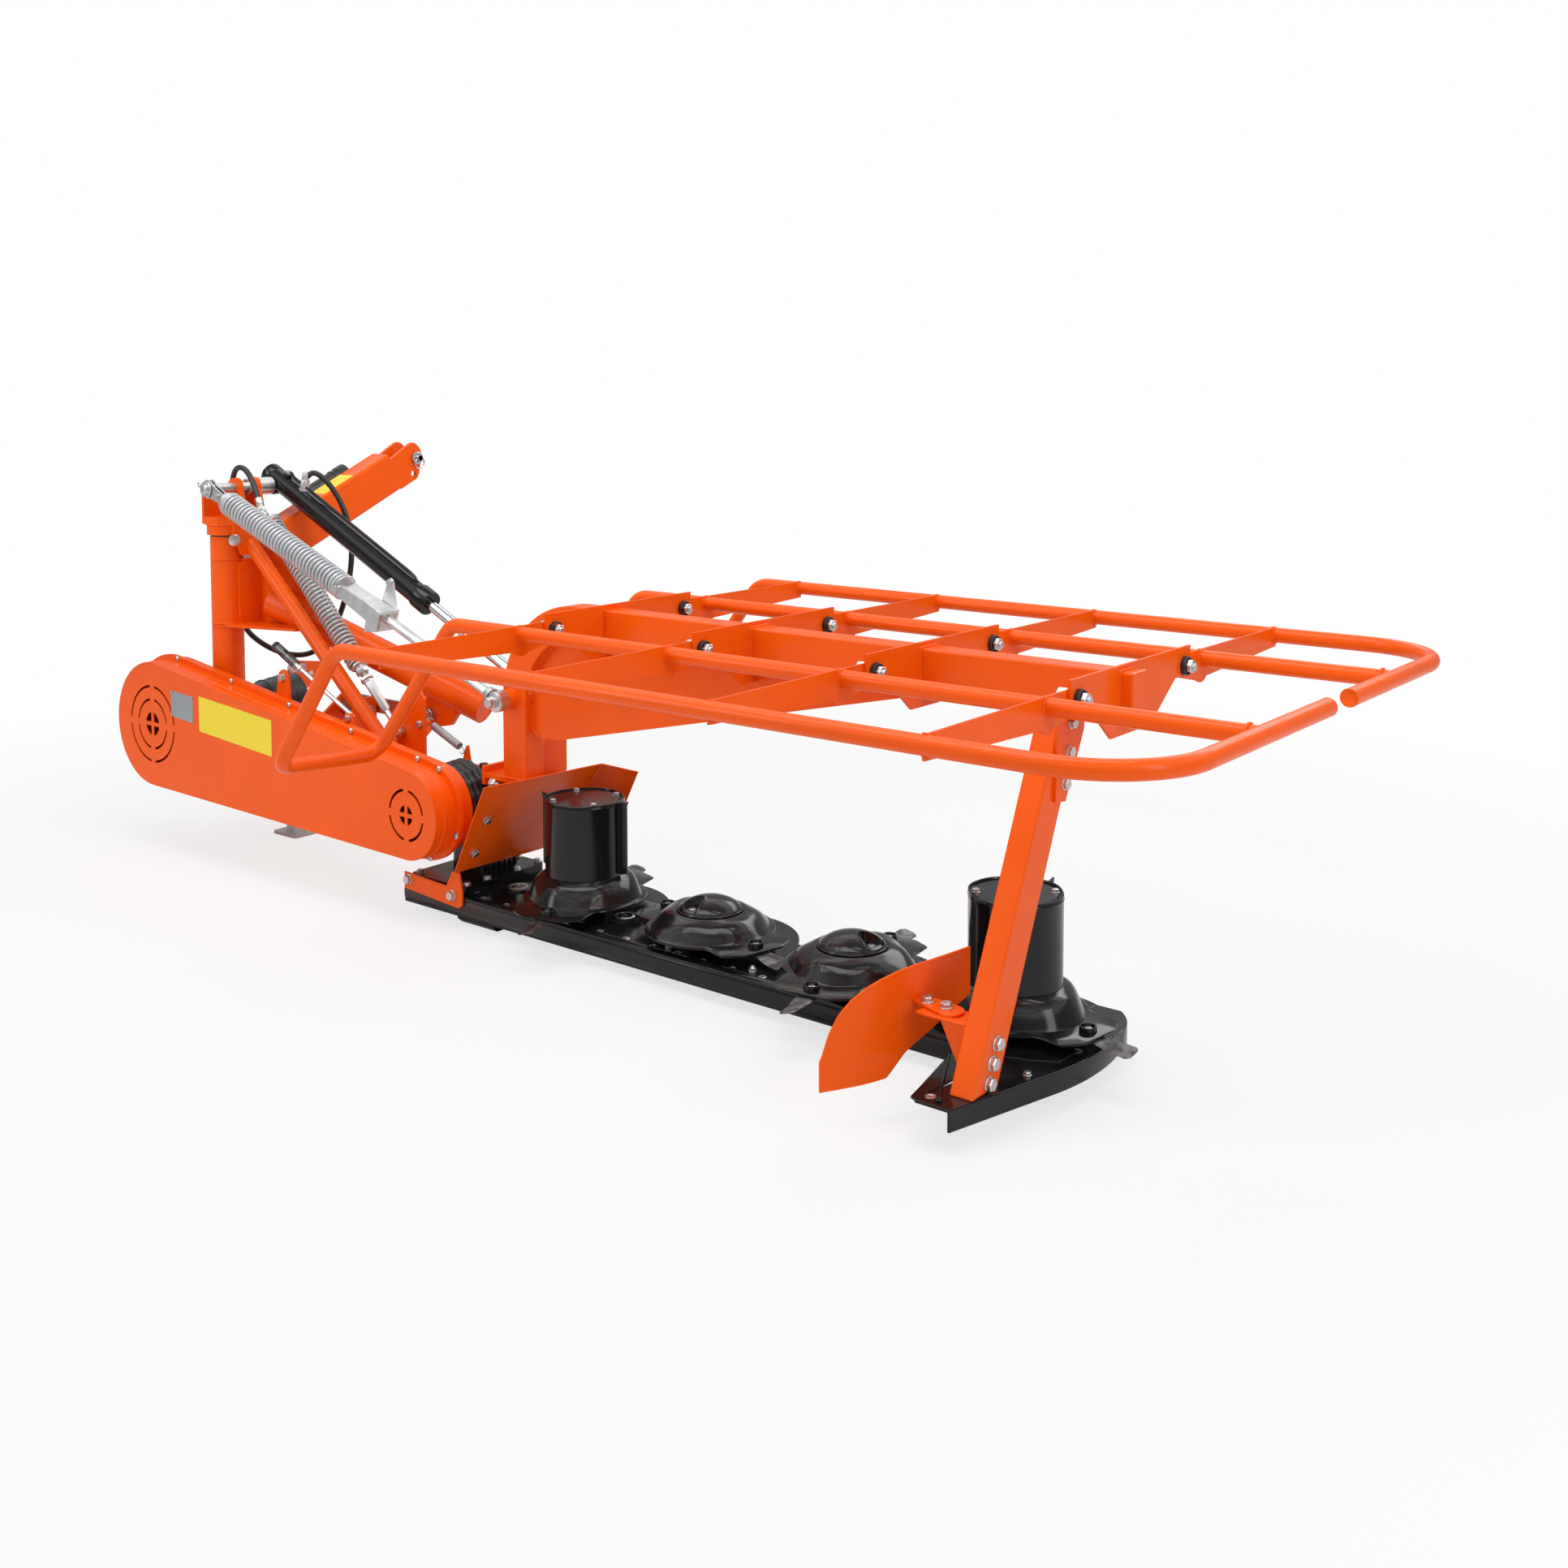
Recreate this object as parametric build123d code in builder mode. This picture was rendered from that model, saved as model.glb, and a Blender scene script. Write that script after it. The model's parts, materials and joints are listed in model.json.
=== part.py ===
from build123d import *
import os
from math import atan2, ceil, cos, degrees, hypot, pi, radians, sin, sqrt

# Rear-mounted disc mower with four cutting discs, parked on its stand with the bar lowered.
# Sizes are millimetres. X runs outward along the cutter bar from the first disc's axis, Y runs
# forward in the direction of travel from the line of discs, and Z is the height over the ground.
# Only at the end is each piece shifted along X, so that the origin is under the machine's middle.

# Cutter bar and its discs
DISC_PITCH = 400
DISC_COUNT = 4
BAR_BOTTOM = 26
BAR_TOP = 76
BAR_REAR = -137
BAR_FRONT = 104
BAR_INNER = -510
BAR_OUTER = 1330
LOBE_RADIUS = 194
LOBE_CENTRE_Y = 16
HUB_RADIUS = 46
HUB_TOP = 103.8
COVER_PLATE_RADIUS = 38
COVER_PLATE_X = (-238, 132)
COVER_PLATE_HEIGHT = 4
SKID_RADIUS = 150
SKID_THICKNESS = 8

# Discs, drums and blades
DISC_HALF_LENGTH = 208
DISC_HALF_WIDTH = 150
DISC_UNDERSIDE = 104
DISC_SHEET = 6
DISC_RIM_HEIGHT = 12
SKIRT_TOP = 165
DOME_TOP = 172
DOME_RING_RADIUS = 74
DOME_RING_Z = 150
DRUM_RADIUS = 96
DRUM_TOP = 347
DRUM_LID_RADIUS = 90
DRUM_FIN = 12
DRUM_FIN_THICKNESS = 8
BLADE_BOLT_RADIUS = 180
BLADE_LENGTH = 127
BLADE_WIDTH = 46
BLADE_THICKNESS = 5
BLADE_BOLT_OFFSET = 24
# Heading of each disc's long axis at rest, in degrees from +X, and whether a drum stands on it
DISCS = (("drum_1", 105, True), ("domed_disc_2", -15, False), ("domed_disc_3", 98, False), ("drum_4", -8, True))

# Fold hinge: the axis of the small pulley, along Y
FOLD_X = -400
FOLD_Z = 282
TRUNNION_RADIUS = 58
TRUNNION_REAR = -16
TRUNNION_FRONT = 96
HINGE_PIN_RADIUS = 20
RUNNING_CLEARANCE = 0.05
FACE_CLEARANCE = 0.6

# Gearbox on the inner end of the bar
GEARBOX_BASE = (-500, -296, -128, 150)
GEARBOX_BASE_HEIGHT = 22
GEARBOX_BODY_LENGTH = 130
GEARBOX_BODY_WIDTH = 110
GEARBOX_BODY_X = -405
GEARBOX_BODY_Y = 40
JOURNAL_RADIUS = 38
JOURNAL_END = -60

# Guard beam, its curved arm, the post and the web plate
BEAM_REAR = -60
BEAM_WIDTH = 60
BEAM_TOP = 820
BEAM_HEIGHT = 100
BEAM_END = 1478
BEAM_WALL = 6
POST_LEFT = -221
POST_SIZE = 80
POST_BOTTOM = 374
ARC_RADIUS = 250
WEB_THICKNESS = 8
WEB_LEFT_Z = 482
WEB_RIGHT_X = 940

# Guard frames and their fixed brackets
BRACKET_PITCH = 441
BRACKET_FIRST_X = 125
BRACKET_COUNT = 4
BRACKET_THICKNESS = 6
BRACKET_REACH = 246
BRACKET_TOP = 832
BRACKET_END_HEIGHT = 58
HINGE_Y = 218
HINGE_Z = 794
HINGE_BOLT_RADIUS = 8
GUARD_TUBE_RADIUS = 16.85
GUARD_TUBE_WALL = 2.6
GUARD_TUBE_Z = 795
GUARD_INNER_Y = 315
GUARD_OUTER_Y = 700
GUARD_END_X = 1828
GUARD_CORNER = 180
LOOP_OUTER_TOP_X = -25
LOOP_OUTER_FOOT = (-232, 515)
LOOP_INNER_FOOT = (-385, 455)
LOOP_INNER_TOP_X = -110
GUARD_BAR_HEIGHT = 58
GUARD_BAR_THICKNESS = 5
GUARD_BAR_GAP = 1
REAR_GUARD_END_Y = -20
FRONT_GUARD_END_Y = 84

# Outer support, shoe and swath board
SUPPORT_X = (1285, 1335)
SUPPORT_WIDTH = 80
SUPPORT_TOP = (-30, 722)
SUPPORT_FOOT = (-333, 82)
SUPPORT_WALL = 5
SHOE_TOP = 82
SHOE_DEPTH = 42
SHOE_WALL = 6
BOARD_THICKNESS = 4

# Headstock: column, bracket, mast, arm tube and hitch frame
COLUMN_X = -1400
COLUMN_Y = -45
COLUMN_RADIUS = 44.5
COLUMN_WALL = 8
COLUMN_BOTTOM = 195
COLUMN_TOP = 903
ARM_START = (COLUMN_X + 119, 30, 714)
ARM_END = (-599, 220, 456)
ARM_RADIUS = 44.5
ARM_WALL = 7
MAST_X = COLUMN_X + 38
MAST_WIDTH = 84
MAST_DEPTH = 120
MAST_FOOT = (60, 855)
MAST_REAR = 62
TOP_PIN = (588, 1105)
TOP_PIN_RADIUS = 9.6
MAST_EAR_THICKNESS = 12
LOWER_PIN_HALF_SPREAD = 341.5
LOWER_PIN_RADIUS = 11
LOWER_PIN_LENGTH = 82
LOWER_PIN_Y = 450
LOWER_PIN_Z = 400
HITCH_TUBE_Y = 190
HITCH_TUBE_Z = 224
HITCH_TUBE_RADIUS = 38
HITCH_PLATE = 12
FOOT_TOP = 244
COLLAR_WALL = 7.5
PIN_TENON_RADIUS = 8

# Belt guard, with the pulleys' centres in the plane of the belt
CASE_REAR = -220
COVER_DEPTH = 72
CASE_FRONT = -102
PULLEY_SMALL = (FOLD_X, FOLD_Z, 112)
PULLEY_LARGE = (COLUMN_X - 119, 366, 178)
FLANGE_WIDTH = 14
FLANGE_THICKNESS = 6
COVER_WALL = 3
# Air slots in the cover: middle in X and Z, outer and inner radius, and the bridges' width
VENT_RINGS = (
    (PULLEY_LARGE[0], PULLEY_LARGE[1], 112, 105, 20), (PULLEY_LARGE[0], PULLEY_LARGE[1], 74, 67, 20),
    (PULLEY_LARGE[0], PULLEY_LARGE[1], 34, 6, 11), (PULLEY_SMALL[0], PULLEY_SMALL[1], 66, 59, 18),
    (PULLEY_SMALL[0], PULLEY_SMALL[1], 25, 6, 10),
)

# Cross pin on the head block, with what hangs from it
CROSS_PIN = (COLUMN_X + 9, 1041)
CROSS_PIN_RADIUS = 15
FLOAT_EYE = (-190, -100, 574)
FLOAT_EYE_THICKNESS = 26
CYLINDER_EYE = (-181, 490)
CYLINDER_RISE = 13
CYLINDER_EYE_THICKNESS = 36
CYLINDER_Y = 134
BARREL_RADIUS = 30
BARREL_LENGTH = 731
BARREL_BORE_START = 52
ROD_RADIUS = 15

# Parking stand
STAND_X = COLUMN_X + 53
STAND_Y = 137
STAND_TUBE = 40
STAND_FOOT = 90
STAND_SLEEVE_BOTTOM = 190
STAND_SLEEVE_TOP = 325
STAND_GAP = 0.6

# Further sizes of the bar's fittings
BAR_CLIP = BAR_OUTER + 38
# Each skid: middle in X, half width, rear edge of the sole and its front edge
SKIDS = ((-265, 65, -105, 56), (0, 90, -70, 110), (400, 90, -70, 110), (800, 90, -70, 110), (1200, 90, -70, 110))
YOKE_X = (-301, -289)
DEFLECTOR_FOOT = (-300, 134)
DEFLECTOR_LEAN = (182, 250)
DEFLECTOR_THICKNESS = 3
YOKE_EYE_Y = 105
YOKE_EYE_THICKNESS = 15
YOKE_PLATE_X = -530
YOKE_PLATE_THICKNESS = 15
BOARD_BOTTOM = 60
BOARD_TOP = 265
SHELF_Z = 196

# Further sizes of the headstock and of what swings on it
BRACKET_LOW_Z = 645
BRACKET_HIGH_Z = 838
MAST_PLATE_TOP = 905
MAST_WALL = 6
SPARE_HOLE = (30, 40)
SPARE_HOLE_RADIUS = 9.8
LINK_BOLT = (-769, 425)
LINK_END = (-1120, 409)
STAND_TOP = 340
HEAD_PLATE_Z = 960
# Each lug on the head block: its rear face in Y and its thickness
HEAD_LUGS = ((-22, 14), (38, 14))
CROSS_PIN_Y = (-118, 166)
BRACE_TOP = (COLUMN_X + 18, 0, 910)
BRACE_FOOT = (-640, 0, 277)
BRACE_RADIUS = 21
SWING_BEAM_Z = (250, 330)
BEAM_SADDLE_Z = 338
ROLLER_X = -1074
ROLLER_Y = 160
ROLLER_Z = 409
PTO_HOUSING_RADIUS = 52
PTO_GUARD_END = 255
PTO_END = 235
PTO_SPLINE = 90
PTO_RADIUS = 17.45
SPRING_Y = 35
SPRING_HOOK_Y = 22
SPRING_TOP = (COLUMN_X + 100, 35, 948)
SPRING_LOW = (-905, 35, 566)
SPRING_ANCHOR = (-735, 35, 402)
SPRING_RADIUS = 29
FLOAT_COIL_RADIUS = 35
FLOAT_COIL_END = 650
FLOAT_CORE_START = 110
FLOAT_CHANNEL_LENGTH = 170
FLOAT_ROD_RADIUS = 12
HOSE_RADIUS = 8
ELBOW_FOOT = (COLUMN_X + 117.8, 134, 1003.3)
# Way of the hose from the cylinder's head round the column to the coupler, with X from the column
HOSE_WAY = (
    (131.8, 134, 1055.3), (135.3, 134, 1068.3), (160, 150, 1088), (195, 192, 1030), (240, 205, 940),
    (255, 205, 820), (210, 195, 660), (100, 190, 532), (-20, 130, 532), (-110, 60, 620), (-100, 40, 800),
    (-84, 30, 1000), (-32, 8, 1104), (60, 0, 1090), (110, -10, 1010),
)
HOSE_POINTS = [(COLUMN_X + x, y, z) for x, y, z in HOSE_WAY]
COUPLER_START = (COLUMN_X + 110, -10, 1010)
COUPLER_MIDDLE = (COLUMN_X + 136.35, -15.27, 967.84)
COUPLER_END = (COLUMN_X + 174.3, -22.86, 907.12)

DISC_X = [index * DISC_PITCH for index in range(DISC_COUNT)]
BRACKET_X = [BRACKET_FIRST_X + index * BRACKET_PITCH for index in range(BRACKET_COUNT)]
REACH_INNER = MAST_X - LOWER_PIN_HALF_SPREAD - LOWER_PIN_LENGTH
REACH_OUTER = GUARD_END_X + GUARD_TUBE_RADIUS
MIDDLE_X = (REACH_INNER + REACH_OUTER) / 2

os.makedirs("parts", exist_ok=True)


def side_plane(y, x=0):
    """A plane facing rearwards at y: its own x runs along X from x, and its own y is Z."""
    return Plane(origin=(x, y, 0), x_dir=(1, 0, 0), z_dir=(0, -1, 0))


def cross_plane(x):
    """A plane facing outward at x: its own x is Y and its own y is Z."""
    return Plane(origin=(x, 0, 0), x_dir=(0, 1, 0), z_dir=(1, 0, 0))


def column_plane(z):
    """A level plane at z, its own x counted from the column's axis and its own y from the disc line."""
    return Plane(origin=(COLUMN_X, 0, z))


def bar_between(start, end, radius, bore=0):
    """A round bar, or with a bore a tube, from one point to another, added to the open part."""
    axis = Vector(*end) - Vector(*start)
    with BuildSketch(Plane(origin=start, z_dir=axis)) as section:
        Circle(radius)
        if bore:
            Circle(bore, mode=Mode.SUBTRACT)
    extrude(section.sketch, amount=axis.length)


def beam_between(start, end, width, depth, wall=0):
    """A box beam between two points, its width kept level, added to the open part."""
    axis = Vector(*end) - Vector(*start)
    level = Vector(0, 0, 1).cross(axis)
    with BuildSketch(Plane(origin=start, x_dir=level, z_dir=axis)) as section:
        Rectangle(width, depth)
        if wall:
            Rectangle(width - 2 * wall, depth - 2 * wall, mode=Mode.SUBTRACT)
    extrude(section.sketch, amount=axis.length)


def plate(plane, points, thickness, holes=(), corner=0):
    """A flat plate with the outline given, drilled by (x, y, radius) holes, in the open part."""
    with BuildSketch(plane) as outline:
        Polygon(*points, align=None)
        if corner:
            fillet(outline.vertices(), corner)
        for x, y, radius in holes:
            with Locations((x, y)):
                Circle(radius, mode=Mode.SUBTRACT)
    extrude(outline.sketch, amount=thickness)


def finish(piece, label):
    """Shift a finished piece to the origin under the machine's middle, name it and write it."""
    piece.part = piece.part.moved(Location((-MIDDLE_X, 0, 0)))
    piece.part.label = label
    export_step(piece.part, f"parts/{label}.step")


# Cutter bar: a flat closed box with a rounded lobe in front of each disc
with BuildPart() as cutter_bar:
    with BuildSketch(Plane.XY.offset(BAR_BOTTOM)) as bar_outline:
        with Locations(((BAR_INNER + BAR_OUTER) / 2, (BAR_REAR + BAR_FRONT) / 2)):
            Rectangle(BAR_OUTER - BAR_INNER, BAR_FRONT - BAR_REAR)
        with Locations(*[(x, LOBE_CENTRE_Y) for x in DISC_X]):
            Circle(LOBE_RADIUS)
        with Locations(((GEARBOX_BASE[0] + GEARBOX_BASE[1]) / 2, GEARBOX_BASE[3] / 2)):
            Rectangle(GEARBOX_BASE[1] - GEARBOX_BASE[0] + 12, GEARBOX_BASE[3])
        with Locations(((BAR_INNER + BAR_OUTER) / 2, BAR_REAR - LOBE_RADIUS)):
            Rectangle(2 * BAR_OUTER, 2 * LOBE_RADIUS, mode=Mode.SUBTRACT)
        with Locations((BAR_CLIP + LOBE_RADIUS, 0)):
            Rectangle(2 * LOBE_RADIUS, 4 * LOBE_RADIUS, mode=Mode.SUBTRACT)
    extrude(amount=BAR_TOP - BAR_BOTTOM)
    with BuildSketch(Plane.XY.offset(BAR_TOP)) as hub_outlines:
        with Locations(*[(x, 0) for x in DISC_X]):
            Circle(HUB_RADIUS)
    extrude(amount=HUB_TOP - BAR_TOP)
    with BuildSketch(Plane.XY.offset(BAR_TOP)) as cover_outlines:
        with Locations(*[(x, 0) for x in COVER_PLATE_X]):
            Circle(COVER_PLATE_RADIUS)
    extrude(amount=COVER_PLATE_HEIGHT)
finish(cutter_bar, "cutter_bar")

# Skid shoes under the bar, one below each disc and one at the inner end, turned up at the front
with BuildPart() as skid_shoes:
    for x, half, rear, front in SKIDS:
        with BuildSketch(cross_plane(x - half)) as profile:
            Polygon(
                (rear, 0), (front, 0), (front + 44, BAR_BOTTOM), (rear - 14, BAR_BOTTOM), (rear - 14, 12),
                align=None,
            )
        extrude(profile.sketch, amount=2 * half)
finish(skid_shoes, "skid_shoes")


def add_disc(drum):
    """Add a cutting disc and the skirt on it to the open part, long axis on X."""
    nose = BLADE_WIDTH / 2 + 8
    with BuildSketch(Plane.XY.offset(DISC_UNDERSIDE)) as rim:
        Circle(DISC_HALF_WIDTH)
        with Locations((DISC_HALF_LENGTH - nose, 0), (nose - DISC_HALF_LENGTH, 0)):
            Circle(nose)
        make_hull()
    extrude(rim.sketch, amount=DISC_RIM_HEIGHT)
    top = SKIRT_TOP if drum else DOME_RING_Z
    neck = DRUM_RADIUS if drum else DOME_RING_RADIUS + 26
    base = DISC_UNDERSIDE + DISC_RIM_HEIGHT
    with BuildSketch(Plane.XZ) as skirt:
        Polygon((0, base), (DISC_HALF_WIDTH - 2, base), (neck, top), (0, top), align=None)
    revolve(skirt.sketch, axis=Axis.Z)


def add_dome():
    """Add the closing dome and its ring on top of a plain disc."""
    with BuildSketch(Plane.XZ) as dome:
        Polygon(
            (0, DOME_RING_Z), (DOME_RING_RADIUS, DOME_RING_Z), (DOME_RING_RADIUS, DOME_RING_Z + 5),
            (DOME_RING_RADIUS - 14, DOME_TOP - 6), (24, DOME_TOP), (0, DOME_TOP),
            align=None,
        )
    revolve(dome.sketch, axis=Axis.Z)


def add_drum():
    """Add the tall drum with its lid and two driving fins."""
    with BuildSketch(Plane.XY.offset(SKIRT_TOP)) as wall:
        Circle(DRUM_RADIUS)
    extrude(wall.sketch, amount=DRUM_TOP - 10 - SKIRT_TOP)
    with BuildSketch(Plane.XY.offset(DRUM_TOP - 10)) as lid:
        Circle(DRUM_LID_RADIUS)
    extrude(lid.sketch, amount=10)
    with BuildSketch(Plane.XY.offset(SKIRT_TOP)) as fins:
        Rectangle(DRUM_FIN_THICKNESS, 2 * (DRUM_RADIUS + DRUM_FIN))
    extrude(fins.sketch, amount=DRUM_TOP - 14 - SKIRT_TOP)


for index, (label, heading, drum) in enumerate(DISCS):
    with BuildPart() as disc:
        add_disc(drum)
        if drum:
            add_drum()
        else:
            add_dome()
    disc.part = disc.part.moved(Location((DISC_X[index], 0, 0), (0, 0, heading)))
    finish(disc, label)

# Blades: two to a disc, hung under the rim's noses
for index, (label, heading, drum) in enumerate(DISCS):
    with BuildPart() as blades:
        with BuildSketch(Plane.XY.offset(DISC_UNDERSIDE - BLADE_THICKNESS)) as blade_outline:
            reach = BLADE_BOLT_RADIUS - BLADE_BOLT_OFFSET + BLADE_LENGTH / 2
            with Locations((reach, 0), (-reach, 0)):
                Rectangle(BLADE_LENGTH, BLADE_WIDTH)
        extrude(amount=BLADE_THICKNESS)
    blades.part = blades.part.moved(Location((DISC_X[index], 0, 0), (0, 0, heading)))
    finish(blades, "blades_" + label[-1])

# Gearbox: flanged base on the bar, housing, and the trunnion that the whole bar folds about
with BuildPart() as gearbox:
    left, right, rear, front = GEARBOX_BASE
    with BuildSketch(Plane.XY.offset(BAR_TOP)) as base:
        with Locations(((left + right) / 2, (rear + front) / 2)):
            RectangleRounded(right - left, front - rear, 16)
    extrude(amount=GEARBOX_BASE_HEIGHT)
    with BuildSketch(Plane.XY.offset(BAR_TOP + GEARBOX_BASE_HEIGHT)) as body:
        with Locations((GEARBOX_BODY_X, GEARBOX_BODY_Y)):
            RectangleRounded(GEARBOX_BODY_LENGTH, GEARBOX_BODY_WIDTH, 18)
    extrude(amount=FOLD_Z - BAR_TOP - GEARBOX_BASE_HEIGHT)
    fold_front = (FOLD_X, TRUNNION_FRONT, FOLD_Z)
    fold_rear = (FOLD_X, TRUNNION_REAR, FOLD_Z)
    bar_between(fold_rear, fold_front, TRUNNION_RADIUS)
    bar_between(fold_front, (FOLD_X, YOKE_EYE_Y + YOKE_EYE_THICKNESS + 8, FOLD_Z), HINGE_PIN_RADIUS)
    bar_between((FOLD_X, JOURNAL_END, FOLD_Z), fold_rear, JOURNAL_RADIUS)
finish(gearbox, "gearbox")



def deflector_x(z):
    """Where the leaning deflector's inner face stands at a height."""
    run, rise = DEFLECTOR_LEAN
    slope = hypot(run, rise)
    return DEFLECTOR_FOOT[0] + (run * (z - DEFLECTOR_FOOT[1]) - DEFLECTOR_THICKNESS * slope) / rise


# Hinge yoke: the upright plate and cheeks that tie the gearbox to the foot of the post
with BuildPart() as hinge_yoke:
    yoke_left, yoke_right = YOKE_X
    outline = (
        (-60, 391), (-60, 345), (-18, 345), (-18, 236), (96, 236), (225, 330), (225, 425), (150, 425), (126, 391),
    )
    plate(cross_plane(yoke_left), outline, yoke_right - yoke_left)
    for y in (-2, 88):
        with BuildSketch(side_plane(y)) as cheek:
            Polygon(
                (FOLD_X + 30, FOLD_Z + 66), (FOLD_X + 30, FOLD_Z - 46), (yoke_left, 240), (yoke_left, 385),
                align=None,
            )
            with Locations((FOLD_X, FOLD_Z)):
                Circle(TRUNNION_RADIUS, mode=Mode.SUBTRACT)
            with Locations((GEARBOX_BODY_X, FOLD_Z - 100)):
                Rectangle(GEARBOX_BODY_LENGTH, 200, mode=Mode.SUBTRACT)
        extrude(cheek.sketch, amount=10)
    with BuildSketch(Plane.XY.offset(POST_BOTTOM - 12)) as seat:
        Polygon((yoke_right, -60), (POST_LEFT + POST_SIZE, -60), (POST_LEFT + POST_SIZE, 0), (yoke_right, 0), align=None)
    extrude(seat.sketch, amount=12)
    with BuildSketch(side_plane(-22)) as rib:
        Polygon((yoke_right, POST_BOTTOM - 12), (yoke_right, 322), (POST_LEFT + 10, POST_BOTTOM - 12), align=None)
    extrude(rib.sketch, amount=14)
    for y in (70, 200):
        with BuildSketch(side_plane(y)) as tab:
            Polygon((yoke_right, 330), (yoke_right, 262), (deflector_x(262), 262), (deflector_x(330), 330), align=None)
        extrude(tab.sketch, amount=8)
finish(hinge_yoke, "hinge_yoke")

# Post and curved arm: one box section bent from the post into the guard beam
ARC_CENTRE = (POST_LEFT + ARC_RADIUS, BEAM_TOP - ARC_RADIUS)
ARM_END_X = BRACKET_FIRST_X - BRACKET_THICKNESS / 2
with BuildPart() as post_arm:
    with BuildSketch(side_plane(BEAM_REAR + BEAM_WIDTH)) as arm_outline:
        with BuildLine():
            low = BEAM_TOP - POST_SIZE
            post_right = POST_LEFT + POST_SIZE
            Line((POST_LEFT, POST_BOTTOM), (POST_LEFT, ARC_CENTRE[1]))
            RadiusArc((POST_LEFT, ARC_CENTRE[1]), (ARC_CENTRE[0], BEAM_TOP), ARC_RADIUS)
            Line((ARC_CENTRE[0], BEAM_TOP), (ARM_END_X, BEAM_TOP))
            Line((ARM_END_X, BEAM_TOP), (ARM_END_X, low))
            Line((ARM_END_X, low), (ARC_CENTRE[0], low))
            RadiusArc((ARC_CENTRE[0], low), (post_right, ARC_CENTRE[1]), POST_SIZE - ARC_RADIUS)
            Line((post_right, ARC_CENTRE[1]), (post_right, POST_BOTTOM))
            Line((post_right, POST_BOTTOM), (POST_LEFT, POST_BOTTOM))
        make_face()
    extrude(amount=BEAM_WIDTH)
    boss_end = FLOAT_EYE[1] + FLOAT_EYE_THICKNESS / 2 + FACE_CLEARANCE
    bar_between((FLOAT_EYE[0], boss_end, FLOAT_EYE[2]), (FLOAT_EYE[0], BEAM_REAR, FLOAT_EYE[2]), 24)
    boss_end = CYLINDER_Y - CYLINDER_EYE_THICKNESS / 2 - FACE_CLEARANCE
    bar_between((CYLINDER_EYE[0], BEAM_REAR + BEAM_WIDTH, CYLINDER_EYE[1]), (CYLINDER_EYE[0], boss_end, CYLINDER_EYE[1]), 22)
finish(post_arm, "post_arm")

# Guard beam: a straight box that carries the brackets
BEAM_START_X = BRACKET_FIRST_X + BRACKET_THICKNESS / 2
with BuildPart() as guard_beam:
    with BuildSketch(cross_plane(BEAM_START_X)) as section:
        with Locations((BEAM_REAR + BEAM_WIDTH / 2, BEAM_TOP - BEAM_HEIGHT / 2)):
            Rectangle(BEAM_WIDTH, BEAM_HEIGHT)
    extrude(amount=BEAM_END - BEAM_START_X)
finish(guard_beam, "guard_beam")

# Web plate under the beam and inside the arm
WEB_REAR = BEAM_REAR + 24
with BuildPart() as beam_web:
    with BuildSketch(side_plane(WEB_REAR + WEB_THICKNESS)) as web_outline:
        with BuildLine():
            low = BEAM_TOP - POST_SIZE
            beam_low = BEAM_TOP - BEAM_HEIGHT
            Line((ARC_CENTRE[0], low), (ARM_END_X, low))
            Line((ARM_END_X, low), (ARM_END_X, beam_low))
            Line((ARM_END_X, beam_low), (WEB_RIGHT_X, beam_low))
            Line((WEB_RIGHT_X, beam_low), (WEB_RIGHT_X, beam_low - 14))
            Line((WEB_RIGHT_X, beam_low - 14), (post_right + 96, WEB_LEFT_Z + 4))
            Line((post_right + 96, WEB_LEFT_Z + 4), (post_right + 20, WEB_LEFT_Z))
            Line((post_right + 20, WEB_LEFT_Z), (post_right, WEB_LEFT_Z + 20))
            Line((post_right, WEB_LEFT_Z + 20), (post_right, ARC_CENTRE[1]))
            RadiusArc((post_right, ARC_CENTRE[1]), (ARC_CENTRE[0], low), ARC_RADIUS - POST_SIZE)
        make_face()
    extrude(amount=WEB_THICKNESS)
finish(beam_web, "beam_web")

# Fixed brackets across the beam, each with the bolts that the guard halves hinge on
with BuildPart() as guard_brackets:
    for x in BRACKET_X:
        left = x - BRACKET_THICKNESS / 2
        low = BRACKET_TOP - BRACKET_END_HEIGHT
        keel = BEAM_TOP - BEAM_HEIGHT - 20
        with BuildSketch(cross_plane(left)) as bracket_outline:
            Polygon(
                (-BRACKET_REACH, BRACKET_TOP), (-BRACKET_REACH, low), (40 - HINGE_Y, low), (-90, keel), (70, keel),
                (HINGE_Y - 40, low), (BRACKET_REACH, low), (BRACKET_REACH, BRACKET_TOP),
                align=None,
            )
            if x > BRACKET_FIRST_X:
                with Locations((BEAM_REAR + BEAM_WIDTH / 2, BEAM_TOP - BEAM_HEIGHT / 2)):
                    Rectangle(BEAM_WIDTH, BEAM_HEIGHT, mode=Mode.SUBTRACT)
            if x < WEB_RIGHT_X:
                with Locations((WEB_REAR + WEB_THICKNESS / 2, keel + 10)):
                    Rectangle(WEB_THICKNESS, 20, mode=Mode.SUBTRACT)
        extrude(bracket_outline.sketch, amount=BRACKET_THICKNESS)
        bolt_left = left - GUARD_BAR_THICKNESS - GUARD_BAR_GAP - 12
        for side in (-1, 1):
            y = side * HINGE_Y
            bar_between((bolt_left, y, HINGE_Z), (left + BRACKET_THICKNESS + 14, y, HINGE_Z), HINGE_BOLT_RADIUS)
            bar_between((bolt_left - 8, y, HINGE_Z), (bolt_left + 8, y, HINGE_Z), 2 * HINGE_BOLT_RADIUS)
            nut = left + BRACKET_THICKNESS
            bar_between((nut, y, HINGE_Z), (nut + 10, y, HINGE_Z), 2 * HINGE_BOLT_RADIUS)
finish(guard_brackets, "guard_brackets")


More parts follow.
